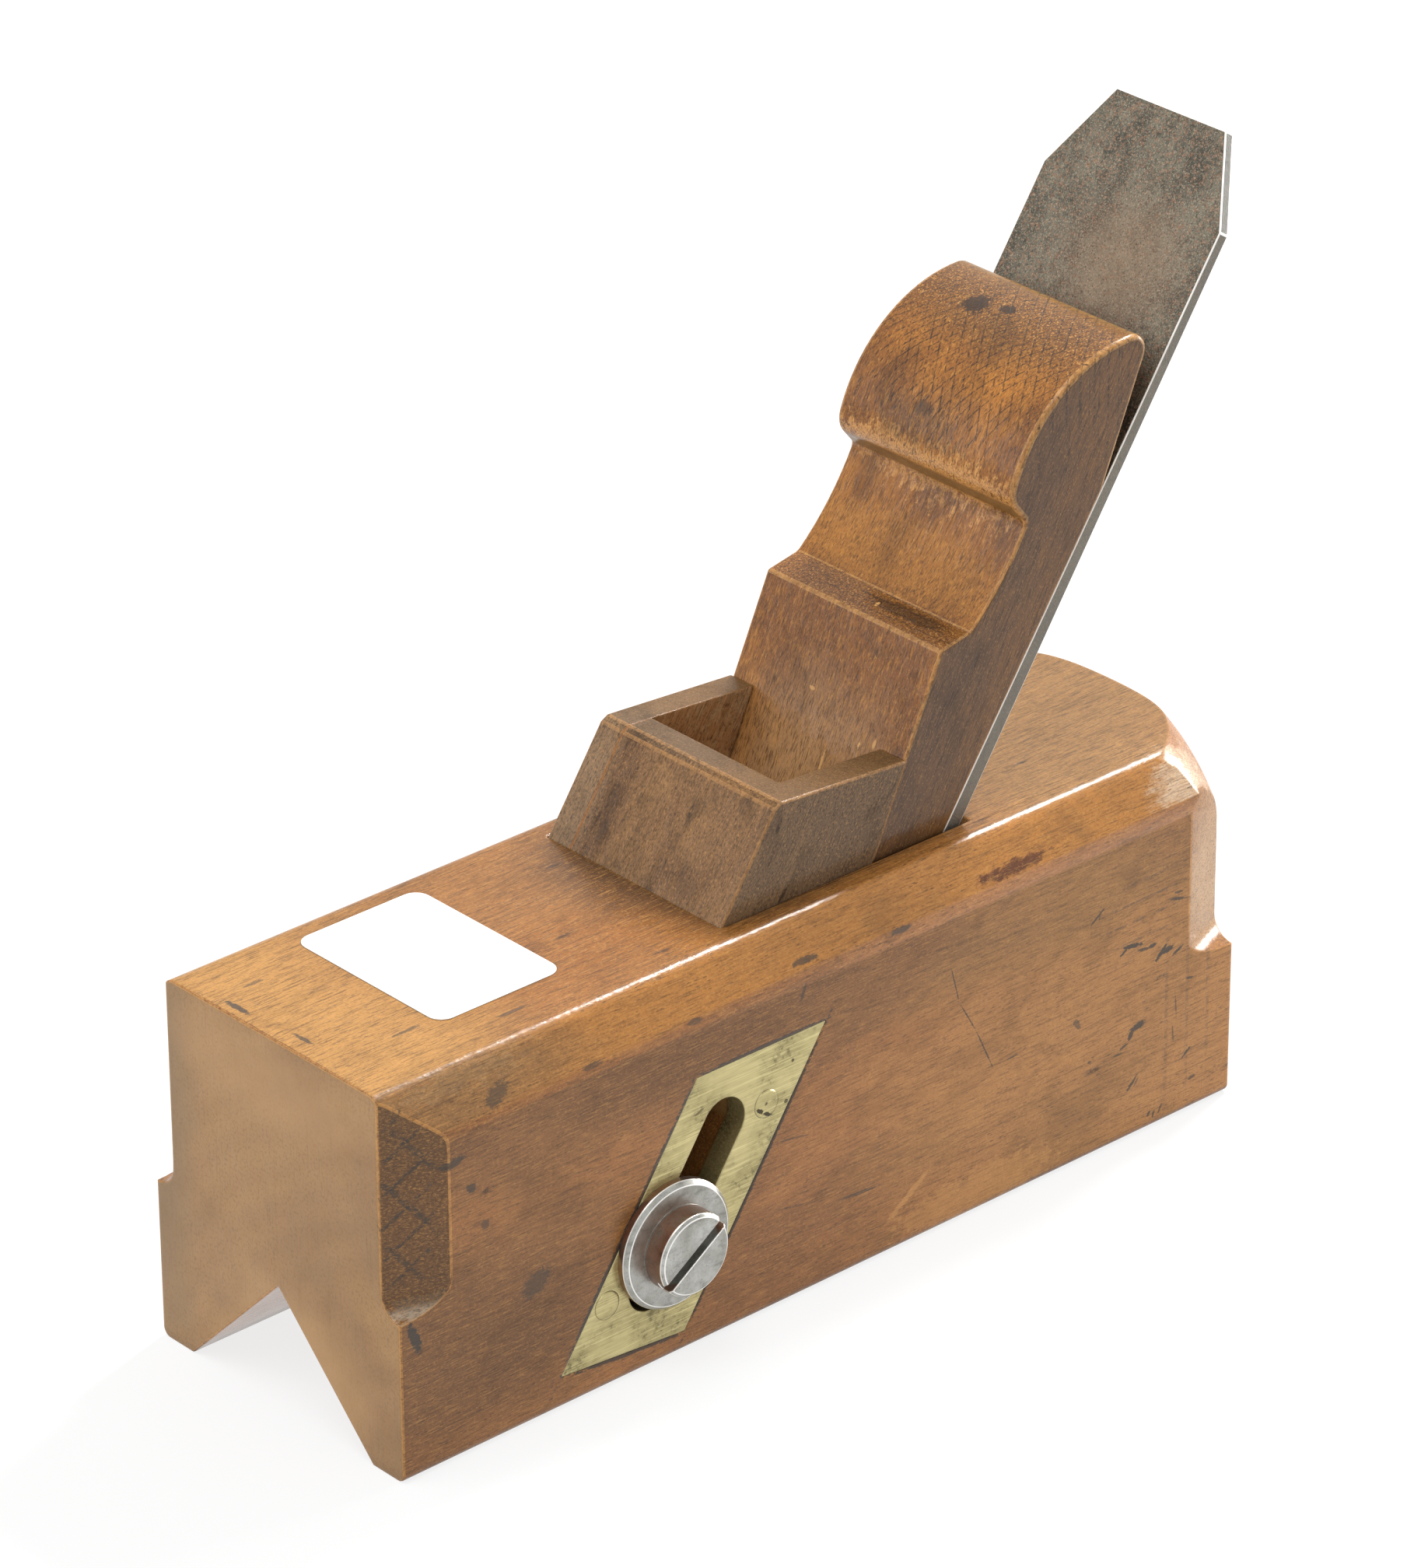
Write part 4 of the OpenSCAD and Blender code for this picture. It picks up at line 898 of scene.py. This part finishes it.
# metres, worked out from the straight edges of the stock in the photograph
view = {"from": (0.7609, -0.6797, 0.6088), "forward": (-0.6603, 0.5909, -0.4636),
        "up": (-0.3424, 0.3125, 0.8861), "lens": 191.5, "sensor": 36}
camera = bpy.data.cameras.new("photo_view")
camera.sensor_fit = "HORIZONTAL"
camera.sensor_width = view["sensor"]
camera.lens = view["lens"]
cameraPiece = bpy.data.objects.new("photo_view", camera)
ahead = Vector(view["forward"]).normalized()
across = ahead.cross(Vector(view["up"])).normalized()
above = across.cross(ahead)
cameraPiece.matrix_world = (Matrix.Translation(view["from"])
                            @ Matrix((across, above, -ahead)).transposed().to_4x4())
bpy.context.scene.collection.objects.link(cameraPiece)
bpy.context.scene.camera = cameraPiece

room = {"seen": 1.0, "light": 0.62, "sweep": "#f2f2f2", "sweepGlow": (0.5, 0.8), "half": 4.0}


def inSight(tree):
    # 1 for rays from the camera, from a mirror or through glass, and 0 for those that light
    ray = add(tree, "ShaderNodeLightPath")
    seen = ray.outputs["Is Camera Ray"]
    for kind in ("Is Glossy Ray", "Is Transmission Ray"):
        seen = add(tree, "ShaderNodeMath", {0: seen, 1: ray.outputs[kind]}, 0,
                   operation="MAXIMUM")
    return seen


def paleFloor(look):
    # white sweep: the camera and reflections see it white, and it keeps a soft shadow
    material, tree = newMaterial("white_sweep")
    chalk = add(tree, "ShaderNodeBsdfDiffuse", {"Color": linear(look["sweep"])}, 0)
    lit = add(tree, "ShaderNodeEmission", {"Color": (1, 1, 1, 1), "Strength": 1.0}, 0)
    low, high = look["sweepGlow"]
    share = add(tree, "ShaderNodeMapRange", {0: inSight(tree), 3: low, 4: high}, 0)
    mixed = add(tree, "ShaderNodeMixShader", {0: share, 1: chalk, 2: lit}, 0)
    add(tree, "ShaderNodeOutputMaterial", {0: mixed})
    return material


floorMesh = bpy.data.meshes.new("floor")
floorMesh.from_pydata([(x * room["half"], y * room["half"], 0) for x, y in
                       ((-1, -1), (1, -1), (1, 1), (-1, 1))], [], [(0, 1, 2, 3)])
floorMesh.materials.append(paleFloor(room))
floor = bpy.data.objects.new("floor", floorMesh)
bpy.context.scene.collection.objects.link(floor)

world = bpy.data.worlds.new("studio")
bpy.context.scene.world = world
world.use_nodes = True
world.node_tree.nodes.clear()
level = add(world.node_tree, "ShaderNodeMapRange", {0: inSight(world.node_tree),
            3: room["light"], 4: room["seen"]}, 0)
sky = add(world.node_tree, "ShaderNodeBackground", {"Color": (1, 1, 1, 1), "Strength": level}, 0)
add(world.node_tree, "ShaderNodeOutputWorld", {0: sky})

lamps = [  # name, place, aimed at, size in metres, watts
    ("back", (-0.15, 0.60, 0.80), (0, 0, 0.05), 0.17, 10.0),
    ("over", (0.10, -0.35, 1.25), (0, 0, 0.05), 0.5, 5.5),
    ("toe", (-0.50, -1.00, 0.70), (0, 0, 0.04), 0.8, 4.0),
    ("rim", (0.16, 1.00, 0.20), (0, 0, 0.04), 0.3, 8.0),
]
for name, place, target, size, watts in lamps:
    light = bpy.data.lights.new(name, "AREA")
    light.shape = "SQUARE"
    light.size = size
    light.energy = watts
    lamp = bpy.data.objects.new(name, light)
    lamp.location = place
    lamp.rotation_euler = (Vector(target) - Vector(place)).to_track_quat("-Z", "Y").to_euler()
    bpy.context.scene.collection.objects.link(lamp)

bpy.context.scene.view_settings.view_transform = "Standard"
print("stage set")
